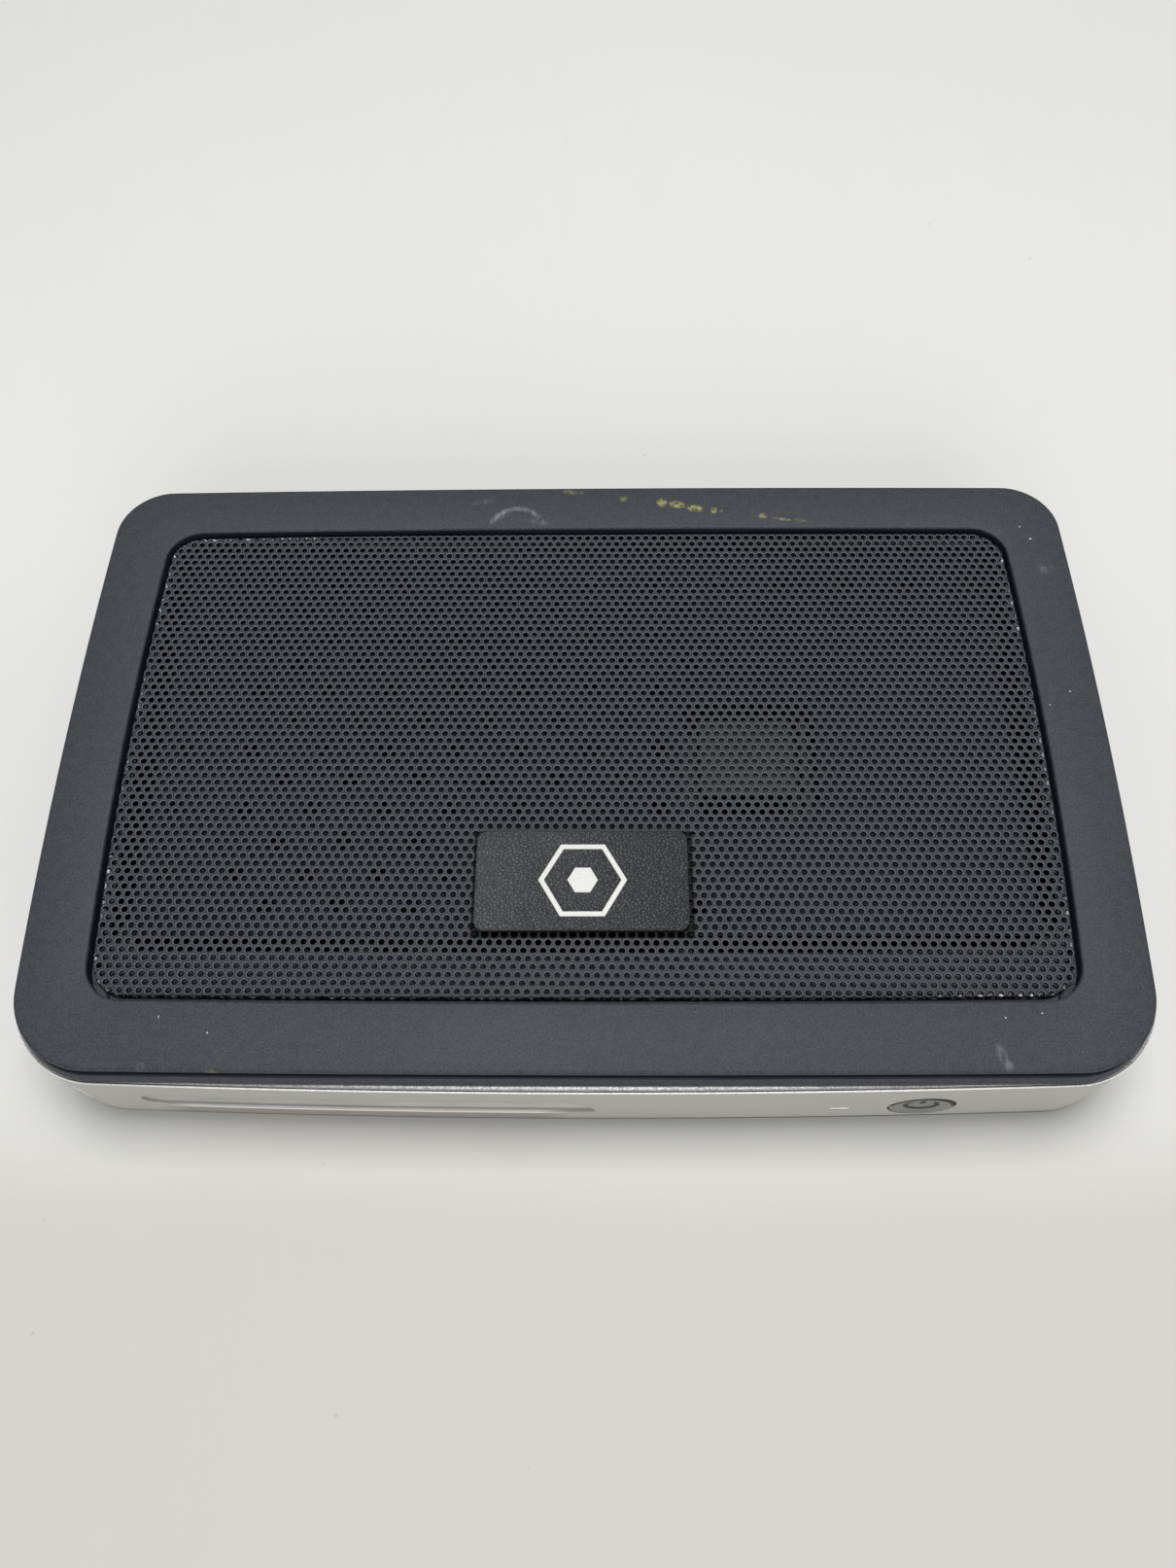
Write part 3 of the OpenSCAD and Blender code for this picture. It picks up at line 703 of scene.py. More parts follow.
def ledge_material():
    """Coarse bright metallised finish of the trim ring, full of small sparkles."""
    s = Shader("trim_sparkle")
    coarse = s.noise(0.26, 4, 0.75)
    facets = s.cells(0.2, output="Color")
    level = s.node("ShaderNodeRGBToBW")
    s.put(level.inputs[0], facets)
    spark = s.span(level.outputs[0], 0.25, 0.75)
    gaps = s.span(s.noise(3.4, 3, 0.6, at=s.stretched(0.4, 1, 1)), 0.62, 0.70)
    colour = s.mix(spark, (0.24, 0.24, 0.25), (0.50, 0.50, 0.50))
    colour = s.over(colour, (0.12, 0.12, 0.12), gaps, 0.3)
    s.set(Base_Color=colour, Roughness=s.vary(coarse, 0.25, 0.5), Metallic=0.45)
    return s.bump(coarse, 0.06, 0.6).material


def shield_material():
    """Dark coated steel with faint roller marks."""
    s = Shader("shield_steel")
    marks = s.noise(0.5, 3, 0.6, at=s.stretched(0.1, 1, 1))
    slow = s.noise(26, 3)
    tone = s.blend(marks, slow, 0.3)
    colour = s.tint(tone, (0.008, 0.010, 0.015), (0.020, 0.023, 0.031))
    # two small dark red paint dots left of the badge
    for x, y in ((-43.6, -21.9), (-39.1, -27.7)):
        colour = s.mix(s.spot(x, y, 1.0, 0.7, 0, 0.6), colour, (0.22, 0.012, 0.014))
    s.set(Base_Color=colour, Roughness=s.vary(marks, 0.5, 0.62), Specular_IOR_Level=0.15)
    return s.bump(marks, 0.01).material


def board_material():
    """Green solder mask with traces, vias and pads."""
    s = Shader("board_mask")
    x, y, z = s.split()
    traces = s.span(s.cells(2.6, feature="DISTANCE_TO_EDGE", randomness=0.35), 0.05, 0.08)
    vias = s.span(s.cells(3.7, randomness=0.6), 0.075, 0.06)
    weave = s.noise(0.4, 2)
    mask = s.tint(weave, (0.003, 0.014, 0.008), (0.005, 0.024, 0.013))
    colour = s.over(mask, (0.006, 0.038, 0.018), s.math("SUBTRACT", 1, traces), 0.6)
    colour = s.mix(vias, colour, (0.20, 0.16, 0.07))
    s.set(Base_Color=colour, Roughness=s.span(vias, 0, 1, 0.24, 0.42), Metallic=s.times(vias, 0.8))
    return s.bump(traces, 0.04, 0.5).material


def button_material():
    """Grey satin button with a faint mottled tone."""
    s = Shader("button_satin")
    fine = s.noise(0.18, 3, 0.6)
    slow = s.noise(3, 3)
    tone = s.blend(fine, slow, 0.5)
    s.set(
        Base_Color=s.tint(tone, (0.17, 0.17, 0.167), (0.235, 0.235, 0.23)),
        Roughness=s.vary(slow, 0.36, 0.48),
    )
    return s.bump(fine, 0.01).material


def milky_resin_material(name, colour, glow):
    """Milky light guide with a faint painted glow, an emission that stands in for room light scattered
    inside it.
    """
    s = Shader(name)
    cloud = s.noise(0.8, 3)
    s.set(
        Base_Color=s.tint(cloud, colour, (0.95, 0.96, 0.94)),
        Roughness=s.vary(cloud, 0.2, 0.34),
        Transmission_Weight=0.25,
        Emission_Color=(1, 1, 0.97),
        Emission_Strength=glow,
    )
    return s.bump(cloud, 0.01).material


def label_material():
    """Blank white label with a thin printed border and a few plain rules."""
    s = Shader("label_film")
    low, high = box_mm("rating_label")
    x, y, z = s.split()
    border = 0.9
    edge_x = s.math("MINIMUM", s.math("SUBTRACT", x, low.x), s.math("SUBTRACT", high.x, x))
    edge_y = s.math("MINIMUM", s.math("SUBTRACT", y, low.y), s.math("SUBTRACT", high.y, y))
    edge = s.math("MINIMUM", edge_x, edge_y)
    line = s.times(s.span(edge, border, border + 0.05), s.span(edge, border + 0.35, border + 0.3))
    rows = s.math("FRACT", s.math("DIVIDE", s.math("SUBTRACT", y, low.y), 3.4))
    rules = s.times(s.span(rows, 0.90, 0.91), s.span(edge, 2.2, 2.3))
    ink = s.math("MAXIMUM", line, s.times(rules, 0.6))
    fibres = s.noise(0.5, 4, 0.7)
    paper = s.tint(fibres, (0.70, 0.70, 0.67), (0.80, 0.80, 0.77))
    s.set(Base_Color=s.mix(ink, paper, (0.12, 0.12, 0.13)), Roughness=s.vary(fibres, 0.38, 0.5))
    return s.bump(fibres, 0.01).material


def floor_material():
    """Off-white table top with faint wiped streaks and a few dark specks."""
    s = Shader("table_top")
    cloud = s.noise(140, 3)
    wipe = s.noise(9, 4, 0.6, at=s.stretched(1, 0.16, 1), distortion=1.5)
    specks = s.times(s.span(s.cells(9), 0.035, 0.02), s.span(s.noise(31, 1), 0.52, 0.6))
    colour = s.tint(cloud, (0.79, 0.788, 0.770), (0.81, 0.808, 0.79))
    # painted shade: the table is painted a little greyer towards the viewer and far behind, for how the
    # light falls off there
    y = s.split()[1]
    colour = s.over(colour, (0.700, 0.694, 0.670), s.span(y, 60, -50, 0, 0.5))
    colour = s.over(colour, (0.640, 0.632, 0.606), s.span(y, -52, -76, smooth_step=True))
    colour = s.over(colour, (0.725, 0.723, 0.712), s.span(y, 150, 500))
    colour = s.over(colour, (0.70, 0.70, 0.68), s.span(wipe, 0.55, 0.75), 0.10)
    colour = s.over(colour, (0.42, 0.40, 0.37), specks, 0.5)
    s.set(Base_Color=colour, Roughness=0.6, Specular_IOR_Level=0.3)
    return s.material


LID = lid_material()
# painted shade: near-black navy for the deep shaded side of the opening, the underside below it and the
# neck under the lid's top edge
SHADE_NAVY = grained("lid_inner_wall_shade", (0.003, 0.004, 0.011), (0.006, 0.007, 0.019), 0.3, 0.01, (0.5, 0.65))
SHELF = shelf_material()
SHEET = sheet_material()
BADGE = badge_material()
FOIL = foil_material()
SILVER = silver_material()
BEAD = bead_material()
LEDGE = ledge_material()
SHIELD = shield_material()
BOARD = board_material()
BUTTON = button_material()
PIPE = milky_resin_material("light_guide", (0.86, 0.88, 0.86), 0.12)
LED = milky_resin_material("led_resin", (0.80, 0.84, 0.66), 0.0)
LABEL = label_material()
RUBBER = grained("rubber", (0.012, 0.012, 0.012), (0.028, 0.028, 0.027), 0.35, 0.04, (0.7, 0.88))
COVER = grained("cover_paint", (0.018, 0.018, 0.020), (0.036, 0.036, 0.038), 0.4, 0.06, (0.5, 0.66))
# black ink of the power sign, also used as painted shadow on the button's upper rim
INK_AND_SHADE = grained("symbol_ink_and_rim_shade", (0.008, 0.008, 0.009), (0.018, 0.018, 0.019), 0.2, 0.01, (0.5, 0.6))
BLACK = grained("moulded_black", (0.012, 0.012, 0.013), (0.026, 0.026, 0.028), 0.3, 0.02, (0.42, 0.55))
CHIP = grained("chip_mould", (0.016, 0.016, 0.018), (0.034, 0.034, 0.036), 0.2, 0.03, (0.55, 0.7))
WHITE = grained("moulded_white", (0.70, 0.70, 0.67), (0.80, 0.80, 0.77), 0.5, 0.015, (0.35, 0.48))
PAD = grained("thermal_pad", (0.30, 0.33, 0.38), (0.42, 0.45, 0.50), 0.4, 0.04, (0.75, 0.9))
FERRITE = grained("ferrite", (0.07, 0.07, 0.075), (0.14, 0.14, 0.145), 0.3, 0.05, (0.6, 0.75))
SINK = grained("anodised", (0.030, 0.036, 0.034), (0.055, 0.062, 0.058), 0.25, 0.02, (0.4, 0.5), 0.5)
STEEL = brushed("nickel_steel", (0.52, 0.52, 0.51), (0.72, 0.72, 0.70), "x")
ZINC = brushed("zinc", (0.50, 0.51, 0.53), (0.68, 0.69, 0.70), "y", 0.36)
DARK_STEEL = brushed("black_oxide", (0.045, 0.045, 0.05), (0.10, 0.10, 0.11), "y", 0.4)
BRASS = brushed("turned_brass", (0.55, 0.40, 0.16), (0.75, 0.58, 0.27), "z", 0.3)
GOLD = brushed("gold_plate", (0.72, 0.52, 0.18), (0.88, 0.68, 0.30), "y", 0.22)
CAN = brushed("drawn_can", (0.56, 0.56, 0.56), (0.74, 0.74, 0.74), "z", 0.28)


# ---------------------------------------------------------------- the silver shell

LIP_Z = RECESS_Z0 + 0.2


def recess_cutter():
    """The port recess: round left end, long quarter ellipse at the right, rounded lower lip."""
    left_a, right_a = 3.4, 6.0
    left, right = RECESS_X0 + left_a, RECESS_X1 - right_a
    mid = (RECESS_Z0 + RECESS_Z1) / 2
    half = (RECESS_Z1 - RECESS_Z0) / 2
    outline = []  # x, z and the lip's radius there
    for i in range(13):
        t = math.radians(90 + 180 * i / 12)
        soft = 0.2 + 0.3 * max(0.0, -math.sin(t))
        outline.append((left + left_a * math.cos(t), mid + half * math.sin(t), soft))
    for i in range(1, 24):
        outline.append((left + (RECESS_X1 - 1.6 - left) * i / 24, RECESS_Z0, 0.2))
    for i in range(13):
        t = math.radians(90 * i / 12)
        height = 2 * half - 0.3
        outline.append((right + right_a * math.cos(t), RECESS_Z0 + 0.3 + height * math.sin(t), 0.2))
    for i in range(1, 24):
        outline.append((right - (right - left) * i / 24, RECESS_Z1, 0.2))
    x, z, soft = np.array(outline).T
    centre_x, centre_z = x.mean(), mid
    out = np.stack((np.sign(x - centre_x) * (np.abs(x - centre_x) > 30), np.sign(z - centre_z)))
    depths = [-3.0, 0.0, 0.08, 0.2, 0.35, 0.5, 0.7, 1.1, RECESS_DEPTH]
    rings = []
    for depth in depths:
        gap = np.clip(soft - max(depth, 0.0), 0, None)
        flare = soft - np.sqrt(np.clip(soft**2 - gap**2, 0, None))
        ring_x = x + out[0] * flare * 1.2
        ring_z = z + out[1] * flare
        rings.append(np.column_stack((ring_x, face_y(ring_x) + depth, ring_z)))
    rings.reverse()
    return loft("recess_cutter", rings, [], closed=False, caps=True)


def round_outline(x, z, radius):
    return [(x + radius * math.cos(t), z + radius * math.sin(t)) for t in full_turn(64)]


def make_shell():
    """The upright wall with its recess, pocket, posts and socket holes."""
    bead = 0.27
    profile = fillet_path([
        (WALL, FOOT_H, 0), (0, FOOT_H, 0.3), (0, 2.6, 0), (0, 3.8, 0), (0, 5.0, 0), (0, 5.8, 0),
        (0, LIP_Z, 0), (0, 10.0, 0), (0, 14.5, 0), (0, SHELL_TOP - 0.6, 0), (0, SHELL_TOP, 0.18),
        (bead, SHELL_TOP, 0.08), (bead, SHELL_TOP - 0.7, 0), (0.9, SHELL_TOP - 0.7, 0),
        (0.9, SHELL_TOP - 0.05, 0), (WALL, SHELL_TOP - 0.05, 0),
    ])
    rings = [at_height(shell_ring(inset), z) for inset, z in profile]
    wall = loft("shell_wall", rings, [SILVER, BEAD])
    # painted highlight: faces on the outside of the rounded top edge take the near-white bead material
    for face in wall.data.polygons:
        centre = face.center / MM
        near_edge = centre.z > SHELL_TOP - 0.27 and face.normal.z > 0.05
        outside = abs(centre.x) / (BODY_W / 2 - 0.6) > 1 or abs(centre.y) > BODY_D / 2 - BOW_Y - 1.2
        corner = Vector((max(abs(centre.x) - 73, 0), max(abs(centre.y) - 40.4, 0))).length > 13.6
        if near_edge and (outside or corner) and face.normal.z < 0.995:
            face.material_index = 1
    low = (RECESS_X0 - 1.4, -BODY_D / 2 + 1.9, 5.2)
    high = (RECESS_X1 + 1.4, -BODY_D / 2 + RECESS_DEPTH + 1.6, 14.6)
    boolean(wall, slab("pocket", low, high, SILVER), "UNION")
    boolean(wall, recess_cutter(), "DIFFERENCE")
    front, pocket_back, back = (-60, -50), (-52, -48), (50, 60)
    holes = [(slot_outline(x, USB_Z, *USB_HOLE), pocket_back) for x in USB_FRONT]
    holes += [(round_outline(x, USB_Z, 3.2), pocket_back) for x in JACK_XS]
    holes += [
        (round_outline(BUTTON_X, BUTTON_Z, BUTTON_R + 0.22), front),
        (slot_outline(LAMP_X, LAMP_Z, 3.3, 1.7, 0.5), front),
    ]
    holes += [(slot_outline(x, USB_Z, *USB_HOLE), back) for x in USB_REAR]
    holes += [
        (slot_outline(LAN_X, 12.9, 14.2, 10.2, 0.6), back),
        (slot_outline(VIDEO_X, 13, 38.8, 10.6, 1), back),
        (slot_outline(LOCK_X, 11, 7.4, 3.4, 0.8), back), (round_outline(DC_X, 12.4, 4.2), back),
    ]
    for outline, reach in holes:
        boolean(wall, prism_y("cut", outline, *reach), "DIFFERENCE")
    parts = [wall] + [tube("post", x, y, 3.6, 1.7, 3.6, 16.0, SILVER) for x, y in POSTS]
    for z in (5.1, 11.3):
        parts.append(slab("rib", (BUTTON_X - 7.2, -54.6, z), (BUTTON_X + 7.2, -51.4, z + 1), SILVER))
    shell = join(parts, "shell_body")
    smooth(shell, 32)
    return stands_for(shell, "shell")


# ---------------------------------------------------------------- trim ring, lid and panel


def make_trim():
    """The bright ledge between the shell and the lid."""
    outer = 0.37
    top = TRIM_HIGH.z
    profile = fillet_path([
        (2.1, TRIM_LOW.z, 0), (2.1, SHELL_TOP, 0), (outer, SHELL_TOP, 0), (outer, top, 0.18),
        (1.3, top - 0.03, 0), (3.1, top - 0.03, 0), (3.1, TRIM_LOW.z, 0),
    ])
    rings = [at_height(shell_ring(inset), z) for inset, z in profile]
    return stands_for(loft("trim_band", rings, [LEDGE]), "trim_ring")


def make_lid():
    """The black frame: sloping flange, neck, rounded top edge and the ledge for the panel."""
    flange = fillet_path([
        (WALL + FLANGE, FLANGE_LOW, 0), (0.13, FLANGE_LOW, 0.08), (0.0, FLANGE_LOW + 0.3, 0.12),
        (0.5, LID_UNDER + 0.2, 0.1), (1.2, LID_UNDER + 0.2, 0),
    ])[1:]
    top = fillet_path([
        (0.6, LID_UNDER + 0.2, 0), (0.6, LID_TOP - 1.0, 0.1), (0.0, LID_TOP - 0.95, 0.12),
        (0.0, LID_TOP, 0.55), (4, LID_TOP, 0),
    ])[:-1]
    rings = [at_height(lid_ring(WALL), FLANGE_LOW)]
    rings += [at_height(flange_ring(inset), z) for inset, z in flange[:-1]]
    neck_start, neck_levels = len(rings) - 1, 6
    rings += [at_height(lid_ring(inset), z) for inset, z in top]
    edge_r = 0.4
    for k in range(5):
        t = math.radians(90 * k / 4)
        inset = -edge_r + edge_r * math.sin(t)
        rings.append(at_height(opening_ring(inset), LID_TOP - edge_r + edge_r * math.cos(t)))
    inner_start = len(rings) - 1
    ledge = ring(OPEN_W - 3, OPEN_D - 10.3, 4.2, 4.2, BOW_X, OPEN_BOW, 0, (0, PANEL_Y + 3.65))
    under = opening_ring(-1.3)
    rings += [
        at_height(outline, z)
        for outline, z in (
            (opening_ring(0), LEDGE_TOP), (ledge, LEDGE_TOP), (ledge, LEDGE_TOP - LEDGE_T),
            (under, LEDGE_TOP - LEDGE_T), (under, LID_UNDER), (lid_ring(WALL), LID_UNDER),
        )
    ]
    frame_part = loft("lid_top", rings, [LID, SHADE_NAVY, SHELF])
    size = len(rings[0])
    # painted shade: the opening's inner wall, the underside and the neck get the near-black navy in
    # place of the lid's plastic
    for index, face in enumerate(frame_part.data.polygons):
        level = index // size
        if inner_start <= level < len(rings) - 1:
            face.material_index = 2 if level == inner_start + 1 else 1
        elif neck_start <= level < neck_start + neck_levels:
            face.material_index = 1
    bosses = [tube("boss", x, y, 3.4, 1.5, 16.1, LID_UNDER + 0.1, LID) for x, y in POSTS]
    lid = join([frame_part, *bosses], "lid_body")
    smooth(lid, 32)
    return stands_for(lid, "lid_frame")


HOLE_PITCH = 1.52
HOLE_R = 0.535
RIM_R = 0.625
LATTICE_TURN = -0.22
ROLL_R = 0.35
SKIRT = PANEL_TOP - LEDGE_TOP - ROLL_R
SHEET_T = 0.6
PANEL_A = OPEN_W / 2 - BOW_X - PANEL_GAP
FRONT_EXTRA = 0.5
SHEET_Y = PANEL_Y + FRONT_EXTRA / 2
PANEL_B = OPEN_D / 2 - OPEN_BOW - PANEL_GAP - FRONT_EXTRA / 2
PANEL_R = OPEN_R - PANEL_GAP


def unbowed(points):
    """Panel points moved back to where the sides are straight."""
    straight = points - np.array((0, SHEET_Y))
    target = straight.copy()
    for _ in range(5):
        straight += target - bowed(straight, PANEL_A, PANEL_B, BOW_X, OPEN_BOW)
    return straight


def panel_distance(straight):
    """Signed distance outside the straight-sided panel, and the outward direction there."""
    corner = np.abs(straight) - np.array((PANEL_A - PANEL_R, PANEL_B - PANEL_R))
    reach = np.maximum(corner, 0)
    length = np.hypot(*reach.T)
    distance = length + np.minimum(corner.max(axis=1), 0) - PANEL_R
    both = (corner > 0).all(axis=1)
    along_x = corner[:, 0] > corner[:, 1]
    direction = np.where(along_x[:, None], (1.0, 0.0), (0.0, 1.0))
    direction[both] = reach[both] / length[both, None]
    return distance, direction * np.sign(straight)


def rolled(points, depth):
    """Rolls flat sheet points down over the panel's edge; depth is below the sheet's top."""
    straight = unbowed(points)
    distance, direction = panel_distance(straight)
    past = distance + ROLL_R
    past_clamped = np.minimum(past, ROLL_R * math.pi / 2 + SKIRT)
    theta = np.clip(past_clamped / ROLL_R, 0, math.pi / 2)
    below = np.clip(past_clamped - ROLL_R * math.pi / 2, 0, None)
    sideways = np.where(past > 0, ROLL_R * np.sin(theta), past) - depth * np.sin(theta)
    down = np.where(past > 0, ROLL_R * (1 - np.cos(theta)), 0) + below + depth * np.cos(theta)
    flat = bowed(straight + direction * (sideways - past)[:, None], PANEL_A, PANEL_B, BOW_X, OPEN_BOW)
    return np.column_stack((flat + np.array((0, SHEET_Y)), PANEL_TOP - down)), theta / (math.pi / 2)


def make_panel():
    """The perforated sheet: one hexagonal cell with a rimmed hole for every place of the lattice."""
    row = HOLE_PITCH * math.sqrt(3) / 2
    reach = ROLL_R * (math.pi / 2 - 1) + SKIRT
    # the lattice's own origin, from the row of holes in front of the badge
    shift_x, shift_y = 0.75 * HOLE_PITCH, 0.213
    centres = [
        ((i + 0.5 * (j % 2)) * HOLE_PITCH + shift_x, j * row + shift_y)
        for j in range(-36, 37) for i in range(-56, 57)
    ]
    turn = math.radians(LATTICE_TURN)
    spin = np.array(((math.cos(turn), math.sin(turn)), (-math.sin(turn), math.cos(turn))))
    centres = np.array(centres) @ spin
    distance, _ = panel_distance(unbowed(centres))
    centres = centres[distance < reach + HOLE_PITCH * 0.45]
    turns = np.radians(np.arange(12) * 30 + LATTICE_TURN)
    spokes = np.column_stack((np.cos(turns), np.sin(turns)))
    cell_r = np.where(np.arange(12) % 2 == 0, HOLE_PITCH / 2, HOLE_PITCH / math.sqrt(3))
    # each layer: radius, depth below the top, share of the painted rim highlight, share of bare metal
    # with painted glints
    layers = ((cell_r, 0.0, 0.0, 0.0), (RIM_R, 0.0, 0.55, 0.0), (HOLE_R + 0.02, 0.05, 1.0, 0.3),
              (HOLE_R, 0.14, 0.35, 1.0), (HOLE_R, SHEET_T, 0.0, 0.6))
    blocks, rims, bare_and_glint_values = [], [], []
    for radius, depth, rim, bare_and_glint in layers:
        ring_points = spokes * np.broadcast_to(radius, 12)[:, None]
        flat = (centres[:, None, :] + ring_points[None, :, :]).reshape(-1, 2)
        placed, roll = rolled(flat, depth)
        blocks.append(placed)
        rims.append(np.full(len(placed), rim))
        outer = (placed[:, 2] < PANEL_TOP - depth - 0.12) & (roll > 0.3)
        bare_and_glint_values.append(bare_and_glint * outer)
    count = len(centres) * 12
    cell = np.arange(len(centres))[:, None] * 12
    here = cell + np.arange(12)
    following = cell + (np.arange(12) + 1) % 12
    faces = []
    for a in range(0, (len(layers) - 1) * count, count):
        b = a + count
        quad = np.stack((here + a, following + a, following + b, here + b), axis=-1)
        faces.append(quad.reshape(-1, 4))
    points = np.concatenate(blocks)
    panel = make_mesh("perforated_panel", points, np.concatenate(faces).tolist(), [SHEET], 75)
    for name, values in (("rim", rims), ("bare_and_glint", bare_and_glint_values)):
        layer = panel.data.attributes.new(name, "FLOAT", "POINT")
        layer.data.foreach_set("value", np.concatenate(values).astype(np.float32))
    welded = bmesh.new()
    welded.from_mesh(panel.data)
    bmesh.ops.remove_doubles(welded, verts=welded.verts, dist=0.002 * MM)
    bmesh.ops.dissolve_degenerate(welded, edges=welded.edges, dist=0.001 * MM)
    welded.to_mesh(panel.data)
    welded.free()
    smooth(panel, 75)
    return stands_for(panel, "grille")


# ---------------------------------------------------------------- badge


def make_badge():
    """The badge plate: grained top with soft edges, on a lower step that keeps a dark gap."""
    gap = 0.3
    centre = ((BADGE_LOW.x + BADGE_HIGH.x - gap) / 2, (BADGE_LOW.y + BADGE_HIGH.y + gap) / 2)
    width, depth = BADGE_HIGH.x - BADGE_LOW.x - gap, BADGE_HIGH.y - BADGE_LOW.y - gap
    top = BADGE_HIGH.z
    profile = fillet_path([
        (0.7, PANEL_TOP, 0), (0.55, PANEL_TOP + 0.22, 0), (0.0, PANEL_TOP + 0.26, 0.04),
        (0.0, top, 0.3), (1.2, top, 0),
    ])
    rings = [at_height(ring(width, depth, 1.7, 1.7, inset=i, centre=centre), z) for i, z in profile]
    plate = loft("badge_body", rings, [BADGE], closed=False, caps=True)
    return stands_for(plate, "badge_plate")


# ---------------------------------------------------------------- power button

SYMBOL_R = 2.4
SYMBOL_LINE = 0.78


def dish_y(radius):
    """Y of the button's face at a distance from its middle: a shallow dish in a flat rim."""
    sphere_r, rim = 22.0, 4.67
    dip = math.sqrt(sphere_r**2 - radius**2) - math.sqrt(sphere_r**2 - rim**2) if radius < rim else 0.0
    return BUTTON_LOW.y + max(dip, 0.0)


def make_button():
    """Dished cap with a rounded rim, guide ears and the post that meets the switch."""
    turns = full_turn(64)
    edge = 0.35
    profile = [(0.02, dish_y(0))] + [(r, dish_y(r)) for r in (1.0, 2.0, 3.0, 4.0, 4.5)]
    for k in range(6):
        t = math.radians(90 * k / 5)
        profile.append((BUTTON_R - edge + edge * math.sin(t), BUTTON_LOW.y + edge * (1 - math.cos(t))))
    profile += [(BUTTON_R, -52.6), (1.4, -52.6), (1.4, BUTTON_HIGH.y), (0.02, BUTTON_HIGH.y)]
    rings = [
        np.column_stack((BUTTON_X + r * np.cos(turns), np.full(64, y), BUTTON_Z + r * np.sin(turns)))
        for r, y in profile
    ]
    cap = loft("cap", rings, [BUTTON, INK_AND_SHADE], closed=False, caps=True)
    ears = slab("ears", (BUTTON_LOW.x, -53.6, 6.2), (BUTTON_HIGH.x, -52.4, 11.2), BUTTON)
    cap.data.flip_normals()
    # painted shadow: the upper band of the rim gets the black ink, for the dark crescent under the
    # hole's upper edge
    for face in cap.data.polygons:
        centre = face.center / MM
        off = math.hypot(centre.x - BUTTON_X, centre.z - BUTTON_Z)
        if off > BUTTON_R - 0.55 and centre.z > BUTTON_Z + 0.6:
            face.material_index = 1
    button = join([cap, ears], "button_cap")
    smooth(button, 38)
    return stands_for(button, "power_button")


def ribbon(name, points, normals):
    """A thin inlay strip over the dish: points run along its middle, normals across it."""
    verts, faces = [], []
    half = SYMBOL_LINE / 2
    for (x, z), (nx, nz) in zip(points, normals):
        for side in (-1, 1):
            px, pz = x + nx * half * side, z + nz * half * side
            y = dish_y(math.hypot(px, pz)) - 0.03
            verts.append((BUTTON_X + px, y, BUTTON_Z + pz))
    for a in range(0, 2 * len(points) - 2, 2):
        faces.append((a, a + 1, a + 3, a + 2))
    return make_mesh(name, verts, faces, [INK_AND_SHADE])


def make_symbol():
    """The plain power sign, let into the dish: an open ring and a bar."""
    gap = 38
    angles = np.radians(np.linspace(90 + gap, 450 - gap, 41))
    rim_dirs = [(math.cos(t), math.sin(t)) for t in angles]
    arc = ribbon("arc", [(SYMBOL_R * c, SYMBOL_R * s) for c, s in rim_dirs], rim_dirs)
    bar_z = np.linspace(0.2, 3.1, 9)
    bar = ribbon("bar", [(0.0, z) for z in bar_z], [(1.0, 0.0)] * len(bar_z))
    sign = join([arc, bar], "power_sign")
    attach(sign, "button")


# ---------------------------------------------------------------- CAD nodes that keep their shape

NODE_LOOKS = {
    "badge_mark": FOIL, "shield": SHIELD, "shield_screws": ZINC, "bottom_cover": COVER, "feet": RUBBER,
    "case_screws": DARK_STEEL, "standoffs": BRASS, "board_screws": ZINC, "main_board": BOARD,
    "processor": CHIP, "thermal_pad": PAD, "heat_sink": SINK, "memory_chips": CHIP, "flash_module": CHIP,
    "lan_magnetics": CHIP, "inductors": FERRITE, "capacitors": CAN, "cell_holder": BLACK,
    "coin_cell": STEEL, "usb_shells": STEEL, "usb_tongues": BLACK, "audio_jacks": BLACK,
    "lan_jack": STEEL, "lan_contacts": GOLD, "video_shell": STEEL, "video_insert": WHITE,
    "jack_posts": STEEL, "dc_jack": BLACK, "dc_pin": STEEL, "lock_bracket": STEEL,
    "switch_body": CHIP, "switch_plunger": WHITE, "power_led": LED, "light_pipe": PIPE,
    "rating_label": LABEL,
}
SOFT_EDGES = {
    "badge_mark": 0.03, "usb_shells": 0.1, "lan_jack": 0.15, "video_shell": 0.1, "dc_jack": 0.15,
    "jack_posts": 0.12, "feet": 0.4, "lock_bracket": 0.08, "heat_sink": 0.1, "inductors": 0.4,
    "usb_tongues": 0.1,
}


def dress_nodes():
    """Gives every CAD node that stays its material, and eases the edges of those listed in SOFT_EDGES.
    """
    for node, material in NODE_LOOKS.items():
        obj = frame["nodes"][node]
        obj.data.materials.clear()
        obj.data.materials.append(material)
        if node in SOFT_EDGES:
            bevel = obj.modifiers.new("eased_edges", "BEVEL")
            bevel.width = SOFT_EDGES[node] * MM
            bevel.segments = 2
            bevel.limit_method = "ANGLE"
            bevel.angle_limit = math.radians(40)


# ---------------------------------------------------------------- table, light and camera


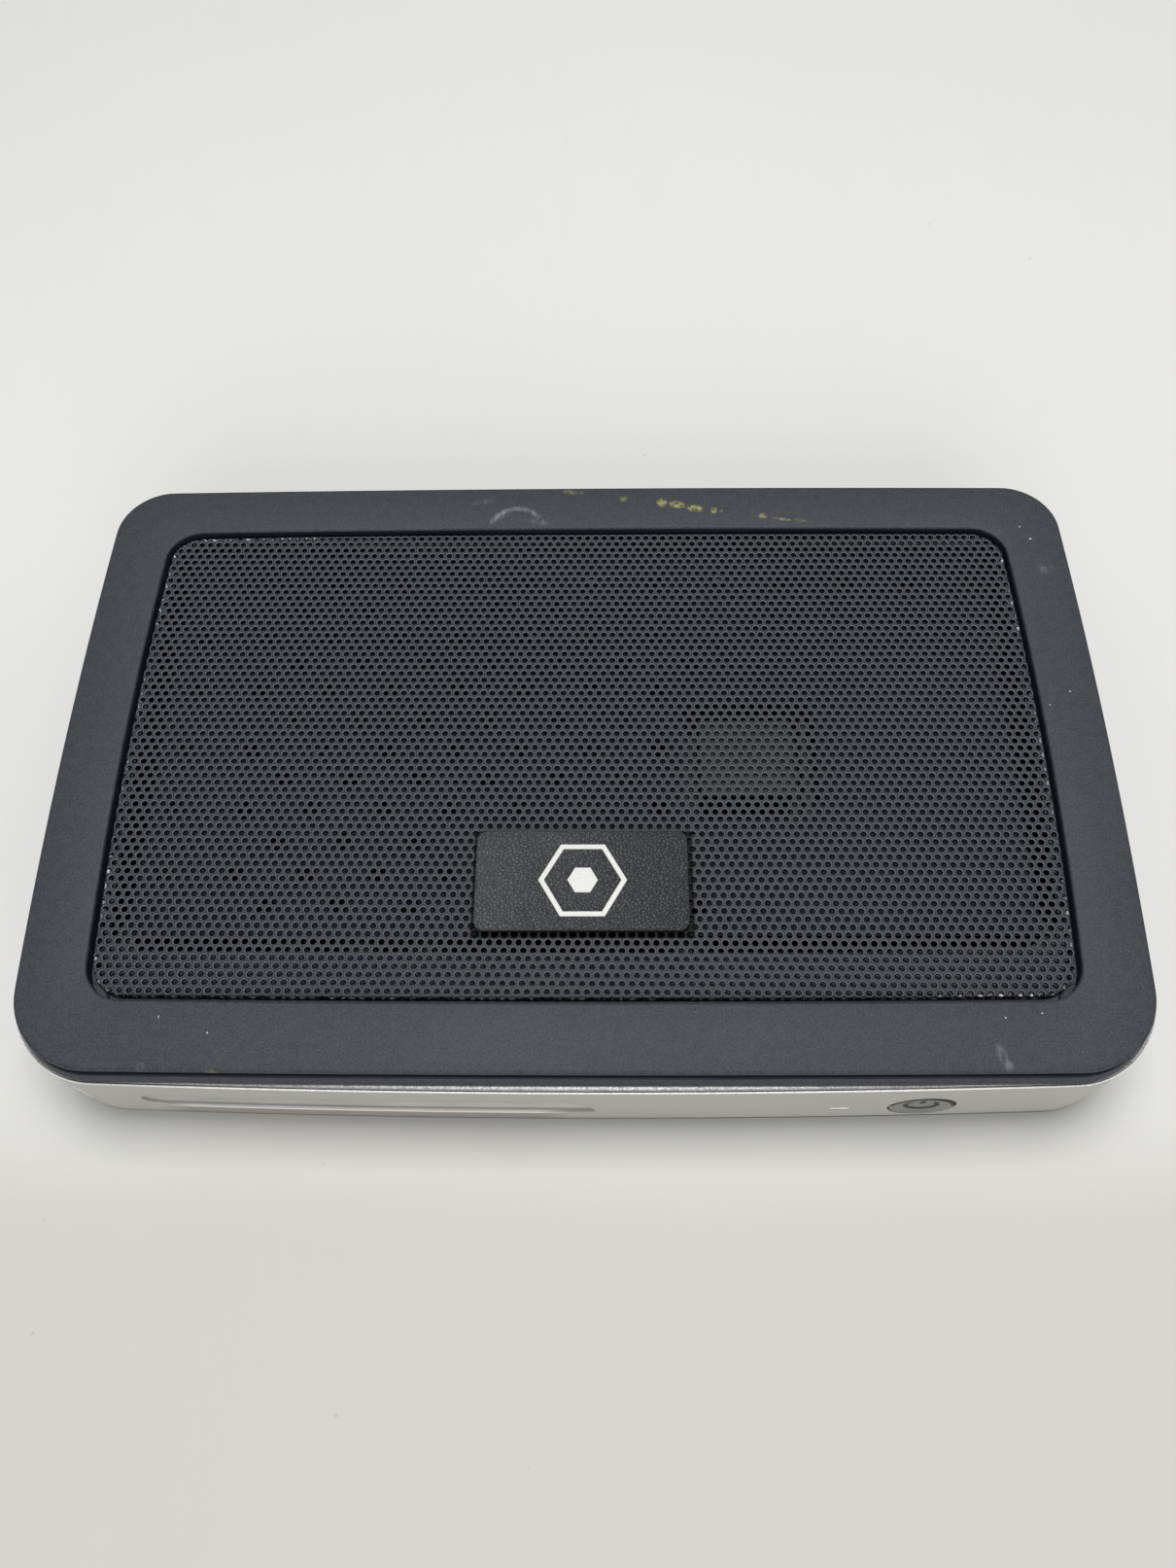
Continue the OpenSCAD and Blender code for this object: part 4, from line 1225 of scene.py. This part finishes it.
def make_floor():
    """A wide table top that curves up far behind the object."""
    half = 1600.0
    rise_start, rise_r = 1500.0, 500.0
    path = [(-half, 0.0), (rise_start, 0.0)]
    for k in range(1, 13):
        t = math.radians(90 * k / 12)
        path.append((rise_start + rise_r * math.sin(t), rise_r * (1 - math.cos(t))))
    path.append((rise_start + rise_r, 1500.0))
    verts = [(x, y, z) for y, z in path for x in (-half * 1.6, half * 1.6)]
    faces = [(2 * i, 2 * i + 1, 2 * i + 3, 2 * i + 2) for i in range(len(path) - 1)]
    floor = make_mesh("table_top", verts, faces, [floor_material()])


def area_light(name, place, target, width, depth, power, colour=(1, 1, 1)):
    light = bpy.data.lights.new(name, "AREA")
    light.shape = "RECTANGLE"
    light.size, light.size_y = width * MM, depth * MM
    light.energy = power
    light.color = colour
    obj = new_object(name, light)
    obj.location = Vector(place) * MM
    obj.rotation_euler = (Vector(target) - Vector(place)).to_track_quat("-Z", "Y").to_euler()


def make_lights():
    """An even pale room, one soft light overhead a little behind, and a weak one in front."""
    world = bpy.data.worlds.new("room")
    bpy.context.scene.world = world
    world.use_nodes = True
    background = world.node_tree.nodes["Background"]
    background.inputs["Color"].default_value = (0.97, 0.985, 1.0, 1)
    background.inputs["Strength"].default_value = 0.36
    area_light("softbox", (45, 200, 1150), (40, 90, 0), 700, 460, 8.1, (1.0, 0.995, 0.985))
    area_light("front_fill", (60, -920, 520), (0, -20, 0), 900, 600, 3.8, (1.0, 0.98, 0.95))


def make_camera():
    """The viewpoint: close above the front edge, looking down and back."""
    camera = bpy.data.cameras.new("camera")
    camera.sensor_width = 36
    camera.lens = 28.137
    camera.clip_start = 0.01
    obj = new_object("camera", camera)
    right = Vector((0.99984, 0.00603, -0.01712))
    up = Vector((0.00229, 0.89374, 0.44858))
    back = Vector((0.018, -0.44854, 0.89358))
    turn = Matrix((right, up, back)).transposed()
    obj.matrix_world = Matrix.Translation(Vector((4.55, -96.97, 202.91)) * MM) @ turn.to_4x4()
    bpy.context.scene.camera = obj


bpy.context.scene.view_settings.view_transform = "Standard"
make_camera()
make_floor()
make_lights()
make_shell()
make_trim()
make_lid()
make_panel()
make_badge()
make_button()
make_symbol()
dress_nodes()
